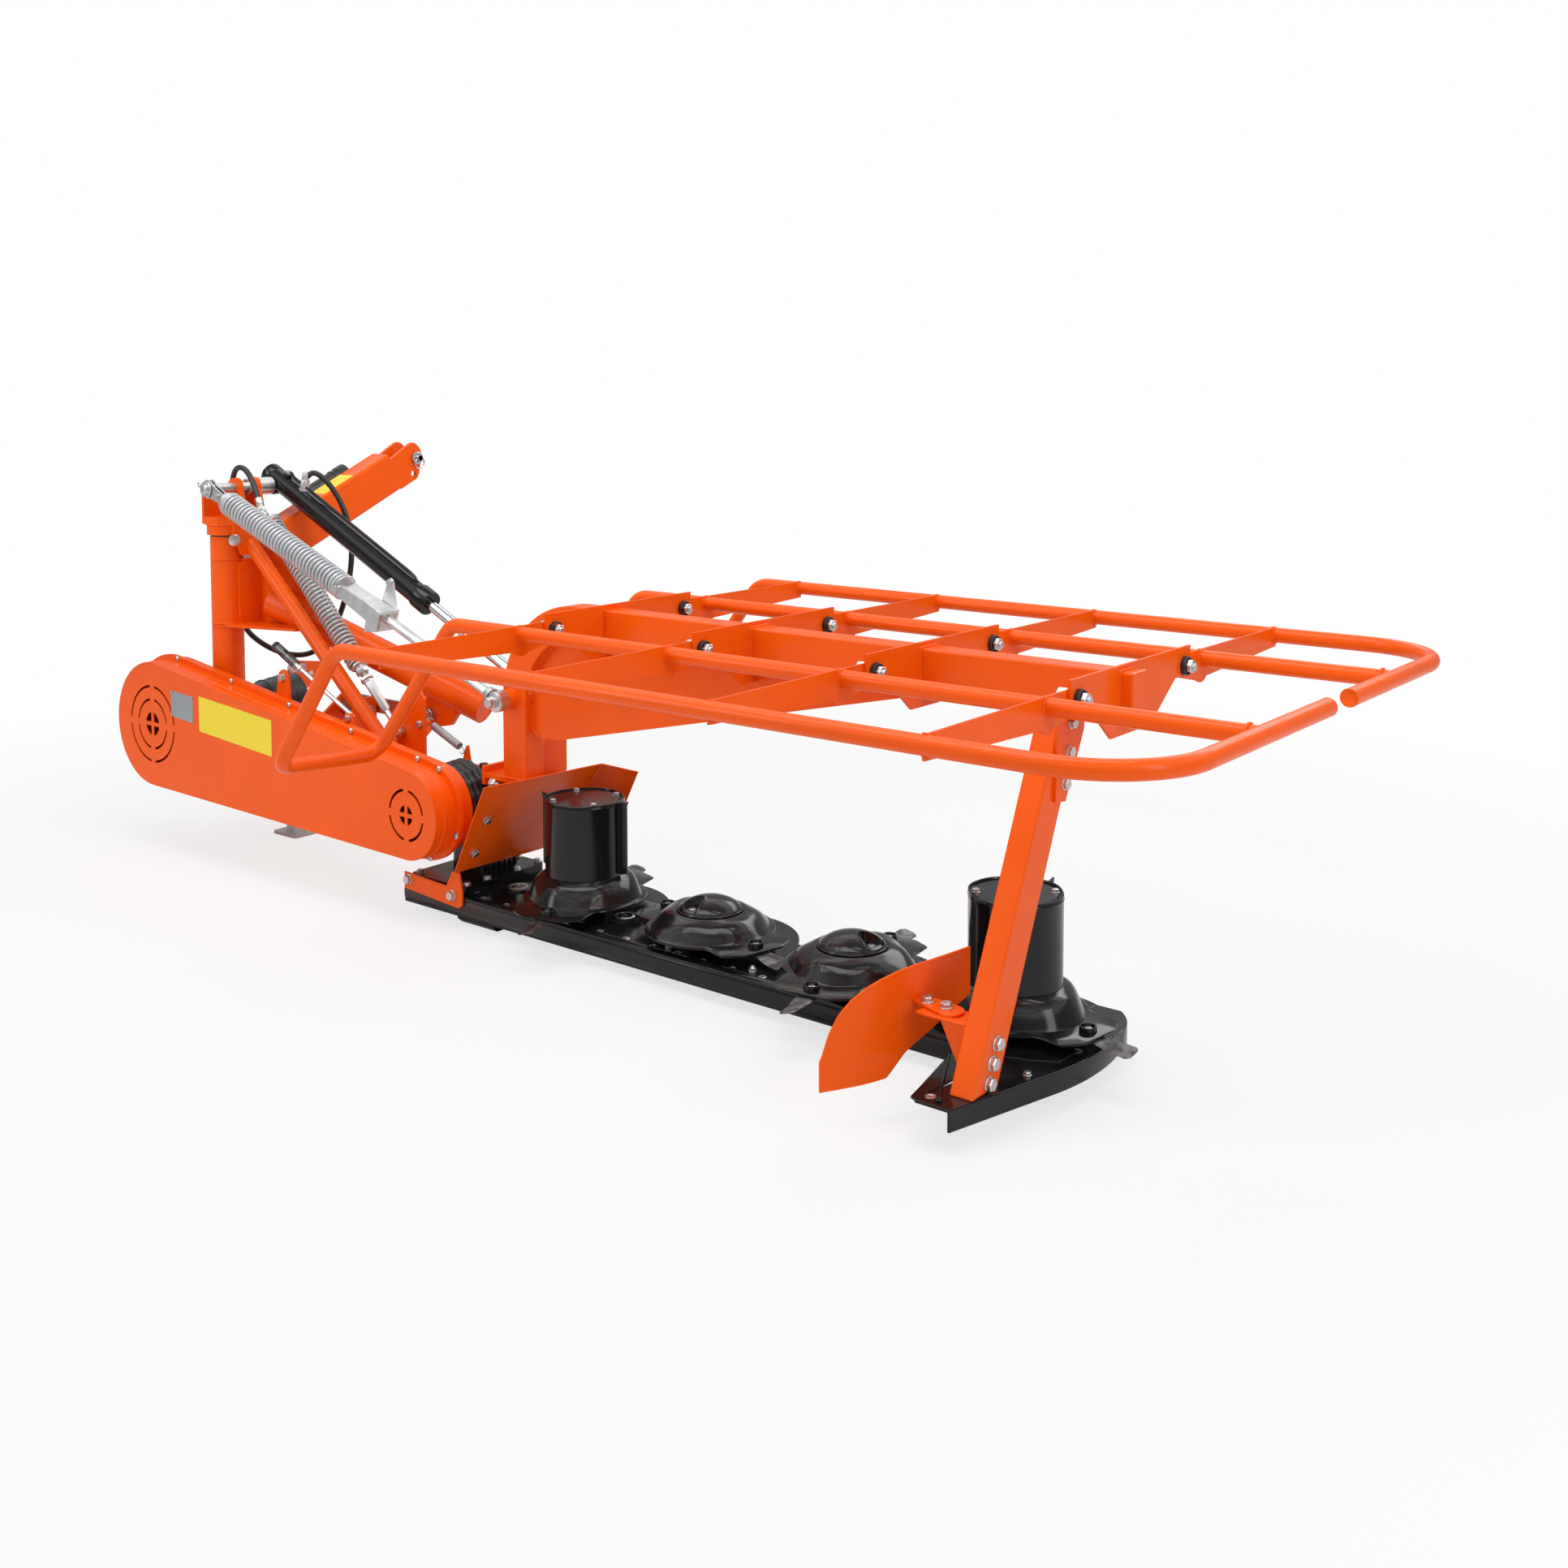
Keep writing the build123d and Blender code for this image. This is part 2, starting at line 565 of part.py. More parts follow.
def add_guard(end_reach):
    """Add one guard half on the rear side to the open part: bent tube, inner tube and cross bars."""
    z = GUARD_TUBE_Z
    outer = -GUARD_OUTER_Y
    inner = -GUARD_INNER_Y
    with BuildLine() as route:
        FilletPolyline(
            (GUARD_END_X, -end_reach, z), (GUARD_END_X, outer, z), (LOOP_OUTER_TOP_X, outer, z),
            (LOOP_OUTER_FOOT[0], outer, LOOP_OUTER_FOOT[1]), (LOOP_INNER_FOOT[0], inner, LOOP_INNER_FOOT[1]),
            (LOOP_INNER_TOP_X, inner, z), (LOOP_INNER_TOP_X + 200, inner, z),
            radius=[GUARD_CORNER, 70, 55, 40, 60],
        )
    with BuildSketch(Plane(origin=route.line @ 0, z_dir=route.line % 0)) as section:
        Circle(GUARD_TUBE_RADIUS)
    sweep(section.sketch, path=route.line)
    bar_between((LOOP_INNER_TOP_X + 200, inner, z), (GUARD_END_X - 4, inner, z), GUARD_TUBE_RADIUS)
    for x in BRACKET_X:
        face = x - BRACKET_THICKNESS / 2 - GUARD_BAR_GAP - GUARD_BAR_THICKNESS
        with BuildSketch(cross_plane(face)) as bar_outline:
            Polygon(
                (26 - HINGE_Y, HINGE_Z + 20), (26 - HINGE_Y, HINGE_Z - 20), (30 + inner, HINGE_Z - 40),
                (outer - 2, HINGE_Z - 24), (outer - 2, HINGE_Z + 18),
                align=None,
            )
            with Locations((inner, HINGE_Z - 14)):
                Circle(34)
            with Locations((-HINGE_Y, HINGE_Z)):
                Circle(HINGE_BOLT_RADIUS + RUNNING_CLEARANCE, mode=Mode.SUBTRACT)
        extrude(bar_outline.sketch, amount=GUARD_BAR_THICKNESS)


with BuildPart() as guard_rear:
    add_guard(-REAR_GUARD_END_Y)
finish(guard_rear, "guard_rear")

with BuildPart() as guard_front:
    add_guard(FRONT_GUARD_END_Y)
guard_front.part = mirror(guard_front.part, about=Plane.XZ)
finish(guard_front, "guard_front")

# Outer shoe: a black channel that lies on the bar's outer end and runs back past the last disc
with BuildPart() as outer_shoe:
    with BuildSketch(Plane.XY.offset(SHOE_TOP - SHOE_DEPTH)) as shoe_outline:
        with BuildLine():
            Polyline((1246, -430), (1320, -430), (1388, -174))
            ThreePointArc((1388, -174), (1406, -40), (1396, 70))
            ThreePointArc((1396, 70), (1382, 130), (1345, 178))
            Polyline((1345, 178), (1286, 178), (1286, -120), (1246, -430))
        make_face()
    extrude(amount=SHOE_DEPTH)
    with BuildSketch(Plane.XY.offset(SHOE_TOP - SHOE_DEPTH)) as hollow:
        with BuildLine():
            Polyline((1200, -450), (1310, -450), (1380, -174))
            ThreePointArc((1380, -174), (1398, -40), (1388, 70))
            Polyline((1388, 70), (1372, 128), (1330, 190), (1200, 230), (1200, -450))
        make_face()
    extrude(amount=SHOE_DEPTH - SHOE_WALL, mode=Mode.SUBTRACT)
finish(outer_shoe, "outer_shoe")

# Outer support: a leaning box between the beam's underside and the shoe
with BuildPart() as outer_support:
    middle = (SUPPORT_X[0] + SUPPORT_X[1]) / 2
    lean_y = (SUPPORT_TOP[0] - SUPPORT_FOOT[0]) / (SUPPORT_TOP[1] - SUPPORT_FOOT[1])
    foot_z = SHOE_TOP - 60
    top_z = BEAM_TOP - BEAM_HEIGHT + 60
    foot_point = (middle, SUPPORT_FOOT[0] + (foot_z - SUPPORT_FOOT[1]) * lean_y, foot_z)
    top_point = (middle, SUPPORT_FOOT[0] + (top_z - SUPPORT_FOOT[1]) * lean_y, top_z)
    beam_between(foot_point, top_point, SUPPORT_X[1] - SUPPORT_X[0], SUPPORT_WIDTH)
    for low, high in ((foot_z - 100, SHOE_TOP), (BEAM_TOP - BEAM_HEIGHT, top_z + 100)):
        with BuildSketch(Plane.XY.offset(low)) as trim:
            with Locations((middle, SUPPORT_FOOT[0] / 2)):
                Rectangle(200, 900)
        extrude(trim.sketch, amount=high - low, mode=Mode.SUBTRACT)
finish(outer_support, "outer_support")

# Swath board: a curved board behind the last disc, with its shelf bracket
with BuildPart() as swath_board:
    with BuildSketch(Plane.XY.offset(BOARD_BOTTOM)) as board_line:
        with BuildLine():
            Line((1172, -126), (1150, -277))
            ThreePointArc((1150, -277), (1118, -378), (1062, -466))
            Line((1062, -466), (1058, -464))
            ThreePointArc((1058, -464), (1114, -376), (1146, -276))
            Line((1146, -276), (1168, -125))
            Line((1168, -125), (1172, -126))
        make_face()
    extrude(amount=BOARD_TOP - BOARD_BOTTOM)
    with BuildSketch(cross_plane(1000)) as slope:
        Polygon((-500, 300), (-50, 300), (-50, 268), (-277, 262), (-500, 204), align=None)
        Polygon((-50, 0), (-50, 190), (-296, 190), (-340, 120), (-340, 0), align=None)
    extrude(slope.sketch, amount=300, mode=Mode.SUBTRACT)
    with BuildSketch(Plane.XY.offset(SHELF_Z)) as shelf:
        Polygon((1149, -262), (1146, -280), (SUPPORT_X[0], -330), (SUPPORT_X[0], -255), align=None)
    extrude(shelf.sketch, amount=5)
finish(swath_board, "swath_board")

# Inner strap and deflector, which lean past the first drum
with BuildPart() as inner_strap:
    outline = ((-505, 62), (-505, 104), (-345, 96), (-322, 137), (-296, 137), (-286, 92), (-286, 56), (-300, 48))
    plate(side_plane(BAR_REAR), outline, 5, holes=((-490, 84, 6), (-320, 72, 6)))
finish(inner_strap, "inner_strap")

with BuildPart() as inner_deflector:
    run, rise = DEFLECTOR_LEAN
    foot_x, foot_z = DEFLECTOR_FOOT
    lean = Plane(origin=(foot_x, 0, foot_z), x_dir=(0, 1, 0), z_dir=(-rise, 0, run))
    rise = hypot(run, rise)
    with BuildSketch(lean) as leaf:
        Polygon((143, 0), (196, 8 - rise), (180, -rise), (-240, 24 - rise), (-330, -60), (-250, -20), align=None)
    extrude(leaf.sketch, amount=DEFLECTOR_THICKNESS)
finish(inner_deflector, "inner_deflector")

# Column, with the collar of the hitch frame welded round its foot
with BuildPart() as column:
    column_foot = (COLUMN_X, COLUMN_Y, COLUMN_BOTTOM)
    bar_between(column_foot, (COLUMN_X, COLUMN_Y, COLUMN_TOP), COLUMN_RADIUS, COLUMN_RADIUS - COLUMN_WALL)
finish(column, "column")

# Column bracket: bent web between two flanges, welded to the column, with the mast's plate
with BuildPart() as column_bracket:
    low, high = BRACKET_LOW_Z, BRACKET_HIGH_Z
    with BuildSketch(column_plane(low + 8)) as web:
        Polygon(
            (44, -40), (48, 38), (100, 38), (160, 84), (275, 84), (275, 74), (164, 74), (104, 28), (60, 28),
            (54, -40),
            align=None,
        )
    extrude(web.sketch, amount=high - low - 16)
    with BuildSketch(side_plane(120, COLUMN_X)) as taper:
        Polygon((210, high), (275, low + 40), (300, low), (300, high), align=None)
    extrude(taper.sketch, amount=120, mode=Mode.SUBTRACT)
    with BuildSketch(column_plane(high - 8)) as upper:
        Polygon(
            (-36, 62), (90, 62), (160, 104), (210, 104), (210, 76), (162, 76), (108, 34), (62, 28), (55, -24),
            (0, -45), (-36, -45),
            align=None,
        )
    extrude(upper.sketch, amount=8)
    with BuildSketch(column_plane(low)) as lower:
        Polygon(
            (-36, 62), (90, 62), (160, 104), (275, 104), (275, -12), (150, -50), (55, -78), (0, -78), (-36, -45),
            align=None,
        )
    extrude(lower.sketch, amount=8)
    with BuildSketch(Plane.XY.offset(low + 8)) as mast_plate:
        with Locations((MAST_X, MAST_REAR - 6)):
            Rectangle(104, 12)
    extrude(mast_plate.sketch, amount=MAST_PLATE_TOP - low - 8)
    with BuildSketch(Plane.XY.offset(low)) as round_column:
        with Locations((COLUMN_X, COLUMN_Y)):
            Circle(COLUMN_RADIUS)
    extrude(round_column.sketch, amount=300, mode=Mode.SUBTRACT)
    axis = Vector(*ARM_END) - Vector(*ARM_START)
    with BuildSketch(Plane(origin=ARM_START, z_dir=axis)) as round_arm:
        Circle(ARM_RADIUS)
    extrude(round_arm.sketch, amount=axis.length, mode=Mode.SUBTRACT)
finish(column_bracket, "column_bracket")

# Mast: a box beam up and forward to the ears for the top link
pin_y, pin_z = TOP_PIN
mast_y, mast_z = MAST_FOOT
run = hypot(pin_y - mast_y, pin_z - mast_z)
along_y = (pin_y - mast_y) / run
along_z = (pin_z - mast_z) / run
with BuildPart() as mast:
    start = (MAST_X, mast_y - 80 * along_y, mast_z - 80 * along_z)
    end = (MAST_X, mast_y + (run - 84) * along_y, mast_z + (run - 84) * along_z)
    beam_between(start, end, MAST_WIDTH, MAST_DEPTH, MAST_WALL)
    for x in (MAST_X - MAST_WIDTH / 2, MAST_X + MAST_WIDTH / 2 - MAST_EAR_THICKNESS):
        ear_plane = Plane(origin=(x, mast_y, mast_z), x_dir=(0, along_y, along_z), z_dir=(1, 0, 0))
        with BuildSketch(ear_plane) as ear:
            Polygon(
                (run - 150, MAST_DEPTH / 2), (run - 150, -MAST_DEPTH / 2), (run - 20, -MAST_DEPTH / 2),
                (run + 34, -30), (run + 44, 0), (run + 34, 30), (run - 20, MAST_DEPTH / 2),
                align=None,
            )
            with Locations((run, 0)):
                Circle(TOP_PIN_RADIUS)
            with Locations((run - SPARE_HOLE[0], -SPARE_HOLE[1])):
                Circle(SPARE_HOLE_RADIUS, mode=Mode.SUBTRACT)
            with Locations((run, 0)):
                Circle(TOP_PIN_RADIUS, mode=Mode.SUBTRACT)
        extrude(ear.sketch, amount=MAST_EAR_THICKNESS)
    with BuildSketch(Plane.XY.offset(500)) as rear_trim:
        with Locations((MAST_X, MAST_REAR - 200)):
            Rectangle(300, 400)
    extrude(rear_trim.sketch, amount=600, mode=Mode.SUBTRACT)
finish(mast, "mast")

with BuildPart() as top_link_pin:
    left = MAST_X - MAST_WIDTH / 2
    right = MAST_X + MAST_WIDTH / 2
    bar_between((left - 14, pin_y, pin_z), (right + 22, pin_y, pin_z), TOP_PIN_RADIUS)
    bar_between((left - 8, pin_y, pin_z), (left, pin_y, pin_z), 17)
    bar_between((right, pin_y, pin_z), (right + 4, pin_y, pin_z), 17)
finish(top_link_pin, "top_link_pin")

# Arm tube: from the bracket out to the ear that holds the breakaway link
with BuildPart() as arm_tube:
    bar_between(ARM_START, ARM_END, ARM_RADIUS)
    outline = ((-806, 424), (-792, 396), (-760, 388), (-690, 404), (-650, 452), (-700, 486), (-790, 470))
    plate(side_plane(ARM_END[1] - 32), outline, 12, holes=((LINK_BOLT[0], LINK_BOLT[1], 10),))
finish(arm_tube, "arm_tube")

# Breakaway link: a flat bar from the ear's bolt back to the roller
with BuildPart() as breakaway_link:
    link_y = ARM_END[1] - 32
    with BuildSketch(side_plane(link_y + 8)) as link:
        with Locations(((LINK_BOLT[0] + LINK_END[0]) / 2, (LINK_BOLT[1] + LINK_END[1]) / 2)):
            Rectangle(LINK_BOLT[0] - LINK_END[0], 44)
        with Locations(LINK_BOLT, LINK_END):
            Circle(24)
    extrude(link.sketch, amount=8)
    bar_between((LINK_BOLT[0], link_y - 24, LINK_BOLT[1]), (LINK_BOLT[0], link_y + 8, LINK_BOLT[1]), 10)
    bar_between((LINK_BOLT[0], link_y - 22, LINK_BOLT[1]), (LINK_BOLT[0], link_y - 12, LINK_BOLT[1]), 17)
finish(breakaway_link, "breakaway_link")

# Hitch frame: foot box from the column, cross tube, side plates and the stand's sleeve
with BuildPart() as hitch_frame:
    reach = LOWER_PIN_HALF_SPREAD - HITCH_PLATE
    tube = (HITCH_TUBE_Y, HITCH_TUBE_Z)
    bar_between((MAST_X - reach, *tube), (MAST_X + reach, *tube), HITCH_TUBE_RADIUS)
    for side in (-1, 1):
        x = MAST_X + side * (reach + HITCH_PLATE / 2) - HITCH_PLATE / 2
        with BuildSketch(cross_plane(x)) as cheek:
            Polygon(
                (150, 180), (150, 262), (404, 446), (492, 432), (492, 372), (440, 356), (226, 180),
                align=None,
            )
            with Locations((LOWER_PIN_Y, LOWER_PIN_Z)):
                Circle(PIN_TENON_RADIUS, mode=Mode.SUBTRACT)
        extrude(cheek.sketch, amount=HITCH_PLATE)
    with BuildSketch(column_plane(COLUMN_BOTTOM)) as foot:
        Polygon((-62, -20), (-62, 176), (-10, 176), (-10, 20), (50, 10), (50, -45), (0, -45), align=None)
        with Locations((0, COLUMN_Y)):
            Circle(COLUMN_RADIUS + COLLAR_WALL)
            Circle(COLUMN_RADIUS, mode=Mode.SUBTRACT)
    extrude(foot.sketch, amount=FOOT_TOP - COLUMN_BOTTOM)
    with BuildSketch(Plane.XY.offset(STAND_SLEEVE_BOTTOM)) as sleeve:
        with Locations((STAND_X - 8, STAND_Y)):
            Rectangle(STAND_TUBE + 28, STAND_TUBE + 12)
    extrude(sleeve.sketch, amount=STAND_SLEEVE_TOP - STAND_SLEEVE_BOTTOM)
    with BuildSketch(Plane.XY.offset(STAND_SLEEVE_BOTTOM - 50)) as bore:
        with Locations((STAND_X, STAND_Y)):
            Rectangle(STAND_TUBE + 2 * STAND_GAP, STAND_TUBE + 2 * STAND_GAP)
    extrude(bore.sketch, amount=500, mode=Mode.SUBTRACT)
finish(hitch_frame, "hitch_frame")

with BuildPart() as lower_hitch_pins:
    for side in (-1, 1):
        x = MAST_X + side * reach
        shoulder = x + side * HITCH_PLATE
        pin_end = shoulder + side * LOWER_PIN_LENGTH
        bar_between((x, LOWER_PIN_Y, LOWER_PIN_Z), (shoulder, LOWER_PIN_Y, LOWER_PIN_Z), PIN_TENON_RADIUS)
        bar_between((shoulder, LOWER_PIN_Y, LOWER_PIN_Z), (pin_end, LOWER_PIN_Y, LOWER_PIN_Z), LOWER_PIN_RADIUS)
finish(lower_hitch_pins, "lower_hitch_pins")

with BuildPart() as parking_stand:
    with BuildSketch(Plane.XY.offset(8)) as leg:
        with Locations((STAND_X, STAND_Y)):
            Rectangle(STAND_TUBE, STAND_TUBE)
    extrude(leg.sketch, amount=STAND_TOP - 8)
    with BuildSketch(Plane.XY) as foot:
        with Locations((STAND_X, STAND_Y)):
            RectangleRounded(STAND_FOOT + 20, STAND_FOOT, 10)
    extrude(foot.sketch, amount=8)
finish(parking_stand, "parking_stand")

# Head block: the swinging head on top of the column, with lugs that hold the cross pin
pin_x, pin_height = CROSS_PIN
with BuildPart() as head_block:
    bar_between((COLUMN_X, COLUMN_Y, COLUMN_TOP + 5), (COLUMN_X, COLUMN_Y, HEAD_PLATE_Z), COLUMN_RADIUS + 8)
    with BuildSketch(column_plane(HEAD_PLATE_Z - 22)) as block:
        Polygon((-46, -92), (-46, 24), (55, 24), (55, -60), (28, -92), align=None)
    extrude(block.sketch, amount=22)
    with BuildSketch(cross_plane(COLUMN_X - 46)) as back:
        Polygon((-92, HEAD_PLATE_Z), (24, HEAD_PLATE_Z), (24, 1048), (-92, 1048), align=None)
    extrude(back.sketch, amount=10)
    for y, thickness in HEAD_LUGS:
        with BuildSketch(side_plane(y + thickness, COLUMN_X)) as lug:
            Polygon((-36, HEAD_PLATE_Z), (-36, 1040), (-12, 1062), (30, 1062), (55, HEAD_PLATE_Z), align=None)
            with Locations((pin_x - COLUMN_X, pin_height)):
                Circle(28)
                Circle(CROSS_PIN_RADIUS, mode=Mode.SUBTRACT)
        extrude(lug.sketch, amount=thickness)
    with BuildSketch(cross_plane(COLUMN_X + 50)) as cheek:
        Polygon((-34, 850), (30, 850), (30, HEAD_PLATE_Z), (-60, HEAD_PLATE_Z), (-60, 912), align=None)
    extrude(cheek.sketch, amount=14)
finish(head_block, "head_block")

with BuildPart() as cross_pin:
    bar_between((pin_x, CROSS_PIN_Y[0], pin_height), (pin_x, CROSS_PIN_Y[1], pin_height), CROSS_PIN_RADIUS)
    bar_between((pin_x, CROSS_PIN_Y[0], pin_height), (pin_x, CROSS_PIN_Y[0] + 6, pin_height), 21)
    bar_between((pin_x, 52, pin_height), (pin_x, 100, pin_height), 26)
finish(cross_pin, "cross_pin")

# Brace tube between the head block and the swing beam
with BuildPart() as brace_tube:
    bar_between(BRACE_TOP, BRACE_FOOT, BRACE_RADIUS)
    with BuildSketch(Plane.XY.offset(BEAM_SADDLE_Z - 100)) as foot_trim:
        with Locations((BRACE_FOOT[0], 0)):
            Rectangle(300, 200)
    extrude(foot_trim.sketch, amount=100, mode=Mode.SUBTRACT)
    with BuildSketch(cross_plane(COLUMN_X - 80)) as top_trim:
        with Locations((0, 900)):
            Rectangle(200, 300)
    extrude(top_trim.sketch, amount=144, mode=Mode.SUBTRACT)
finish(brace_tube, "brace_tube")

# Swing beam: ring round the column, box, saddle for the brace and the yoke of the fold hinge
low, high = SWING_BEAM_Z
with BuildPart() as swing_beam:
    beam_start = COLUMN_X + 55
    with BuildSketch(cross_plane(beam_start)) as section:
        with Locations((-50, (low + high) / 2)):
            Rectangle(70, high - low)
    extrude(section.sketch, amount=YOKE_PLATE_X - beam_start)
    with BuildSketch(Plane.XY.offset(low)) as ring:
        with Locations((COLUMN_X, COLUMN_Y)):
            Circle(COLUMN_RADIUS + 12)
    extrude(ring.sketch, amount=high - low)
    with BuildSketch(Plane.XY.offset(low)) as ring_bore:
        with Locations((COLUMN_X, COLUMN_Y)):
            Circle(COLUMN_RADIUS + RUNNING_CLEARANCE)
    extrude(ring_bore.sketch, amount=high - low, mode=Mode.SUBTRACT)
    with BuildSketch(Plane.XY.offset(high)) as saddle:
        Polygon((-780, -85), (-645, -85), (-645, 45), (-780, 45), align=None)
    extrude(saddle.sketch, amount=BEAM_SADDLE_Z - high)
    yoke_outline = ((-98, 240), (-98, 330), (120, 330), (120, 240))
    plate(cross_plane(YOKE_PLATE_X), yoke_outline, YOKE_PLATE_THICKNESS)
    with BuildSketch(side_plane(YOKE_EYE_Y + YOKE_EYE_THICKNESS)) as eye:
        Polygon(
            (YOKE_PLATE_X, 240), (YOKE_PLATE_X, 330), (FOLD_X, FOLD_Z + 48), (FOLD_X, FOLD_Z - 48),
            align=None,
        )
        with Locations((FOLD_X, FOLD_Z)):
            Circle(48)
            Circle(HINGE_PIN_RADIUS + RUNNING_CLEARANCE, mode=Mode.SUBTRACT)
    extrude(eye.sketch, amount=YOKE_EYE_THICKNESS)
    for x in (ROLLER_X - 46 - 10, ROLLER_X + 46):
        outline = ((-15, low + 10), (-15, high), (140, 446), (182, 446), (182, 372), (60, low + 10))
        plate(cross_plane(x), outline, 10)
finish(swing_beam, "swing_beam")

with BuildPart() as swing_plate:
    outline = ((-760, 318), (-760, 380), (-742, 430), (-700, 527), (-665, 527), (-645, 500), (-645, 300), (-700, 300))
    plate(side_plane(53), outline, 8)
    bar_between((-664, 53, 430), (-664, 81, 430), 6)
    bar_between((-664, 53, 430), (-664, 63, 430), 12)
finish(swing_plate, "swing_plate")

with BuildPart() as breakaway_roller:
    bar_between((ROLLER_X - 46, ROLLER_Y, ROLLER_Z), (ROLLER_X + 46, ROLLER_Y, ROLLER_Z), 28)
finish(breakaway_roller, "breakaway_roller")

with BuildPart() as return_spring:
    bar_between((-672, 85, 430), (-655, 85, 422), 4)
    bar_between((-655, 85, 422), (-550, 85, 380), 11)
    bar_between((-550, 85, 380), (-534, 85, 372), 4)
    outline = ((-546, 330), (-530, 384), (-518, 384), (YOKE_PLATE_X + YOKE_PLATE_THICKNESS, 330))
    plate(side_plane(96), outline, 5)
finish(return_spring, "return_spring")


def belt_outline(y, grow, depth, mode=Mode.ADD):
    """Add or cut the hull of both pulleys' circles, grown by an amount, forward from a depth."""
    with BuildSketch(side_plane(y)) as hull:
        with Locations(PULLEY_SMALL[:2]):
            Circle(PULLEY_SMALL[2] + grow)
        with Locations(PULLEY_LARGE[:2]):
            Circle(PULLEY_LARGE[2] + grow)
        make_hull()
    extrude(hull.sketch, amount=depth, mode=mode)


# Belt guard: rear cover and front case, bolted together round their flanges
SEAM_Y = CASE_REAR + COVER_DEPTH
with BuildPart() as belt_cover:
    belt_outline(SEAM_Y, FLANGE_WIDTH, FLANGE_THICKNESS)
    belt_outline(SEAM_Y, 0, COVER_DEPTH)
    belt_outline(SEAM_Y, -COVER_WALL, COVER_DEPTH - COVER_WALL, Mode.SUBTRACT)
    for x, z, outer, inner, bridge in VENT_RINGS:
        with BuildSketch(side_plane(CASE_REAR + COVER_WALL)) as vent:
            with Locations((x, z)):
                Circle(outer)
                Circle(inner, mode=Mode.SUBTRACT)
                Rectangle(bridge, 2 * outer, mode=Mode.SUBTRACT)
                Rectangle(2 * outer, bridge, mode=Mode.SUBTRACT)
        extrude(vent.sketch, amount=COVER_WALL, mode=Mode.SUBTRACT)
finish(belt_cover, "belt_cover")

with BuildPart() as belt_case:
    belt_outline(SEAM_Y + FLANGE_THICKNESS, FLANGE_WIDTH, FLANGE_THICKNESS)
    belt_outline(CASE_FRONT, 0, CASE_FRONT - SEAM_Y)
    belt_outline(CASE_FRONT - 4, -COVER_WALL, CASE_FRONT - SEAM_Y - 4, Mode.SUBTRACT)
    with BuildSketch(side_plane(CASE_FRONT)) as shaft_hole:
        with Locations(PULLEY_LARGE[:2]):
            Circle(24 + 2 * RUNNING_CLEARANCE)
    extrude(shaft_hole.sketch, amount=4, mode=Mode.SUBTRACT)
    for x in (-1240, -880):
        with BuildSketch(cross_plane(x)) as tie:
            Polygon((CASE_FRONT, 262), (CASE_FRONT, 318), (-85, 318), (-85, 262), align=None)
        extrude(tie.sketch, amount=40)
finish(belt_case, "belt_case")

# Drive input: housing and bell guard round the splined shaft
drive_x, drive_z, drive_radius = PULLEY_LARGE
with BuildPart() as pto_guard:
    with BuildSketch(Plane.YZ.offset(drive_x)) as bell:
        inner = PTO_HOUSING_RADIUS - 8
        Polygon(
            (CASE_FRONT, drive_z + inner), (CASE_FRONT, drive_z + PTO_HOUSING_RADIUS),
            (96, drive_z + PTO_HOUSING_RADIUS), (150, drive_z + 72), (PTO_GUARD_END, drive_z + 84),
            (PTO_GUARD_END, drive_z + 80), (150, drive_z + 67), (96, drive_z + inner),
            align=None,
        )
    revolve(bell.sketch, axis=Axis((drive_x, 0, drive_z), (0, 1, 0)))
finish(pto_guard, "pto_guard")

with BuildPart() as pto_shaft:
    bar_between((drive_x, CASE_FRONT - 10, drive_z), (drive_x, PTO_END - PTO_SPLINE, drive_z), 24)
    bar_between((drive_x, PTO_END - PTO_SPLINE, drive_z), (drive_x, PTO_END, drive_z), PTO_RADIUS)
finish(pto_shaft, "pto_shaft")

# Belt tensioner: lug on the case with a sprung rod
with BuildPart() as belt_tensioner:
    outline = ((-1096, 452), (-1085, 534), (-1075, 555), (-1047, 555), (-1037, 534), (-1030, 440))
    plate(side_plane(-94), outline, 8)
    bar_between((-1120, -84, 617), (-774, -84, 456), 6)
    bar_between((-1111, -84, 613), (-1004, -84, 563), 13)
    bar_between((-1061, -94, 534), (-1061, -80, 534), 14)
    bar_between((-1020, -94, 571), (-1020, -76, 571), 11)
    plate(side_plane(-94), ((-800, 424), (-790, 470), (-762, 470), (-752, 420)), 8)
    plate(side_plane(-78), ((-790, 445), (-790, 468), (-762, 468), (-762, 445)), 16)
finish(belt_tensioner, "belt_tensioner")

with BuildPart() as gaiter:
    with BuildSketch(Plane.YZ.offset(FOLD_X)) as boot:
        Polygon(
            (CASE_FRONT, FOLD_Z + 50), (CASE_FRONT, FOLD_Z + 92), (-84, FOLD_Z + 100), (-76, FOLD_Z + 93),
            (-60, FOLD_Z + 103), (-52, FOLD_Z + 96), (-36, FOLD_Z + 106), (-24, FOLD_Z + 106),
            (-24, FOLD_Z + 50),
            align=None,
        )
    revolve(boot.sketch, axis=Axis((FOLD_X, 0, FOLD_Z), (0, 1, 0)))
finish(gaiter, "gaiter")

# Brace spring: long coil from the cross pin down to the swing plate, with its threaded end
with BuildPart() as brace_spring:
    bar_between((pin_x, SPRING_HOOK_Y, pin_height), SPRING_TOP, 7)
    with BuildSketch(side_plane(SPRING_HOOK_Y + 30)) as pin_seat:
        with Locations((pin_x, pin_height)):
            Circle(CROSS_PIN_RADIUS)
    extrude(pin_seat.sketch, amount=60, mode=Mode.SUBTRACT)
    bar_between(SPRING_TOP, SPRING_LOW, SPRING_RADIUS)
finish(brace_spring, "brace_spring")

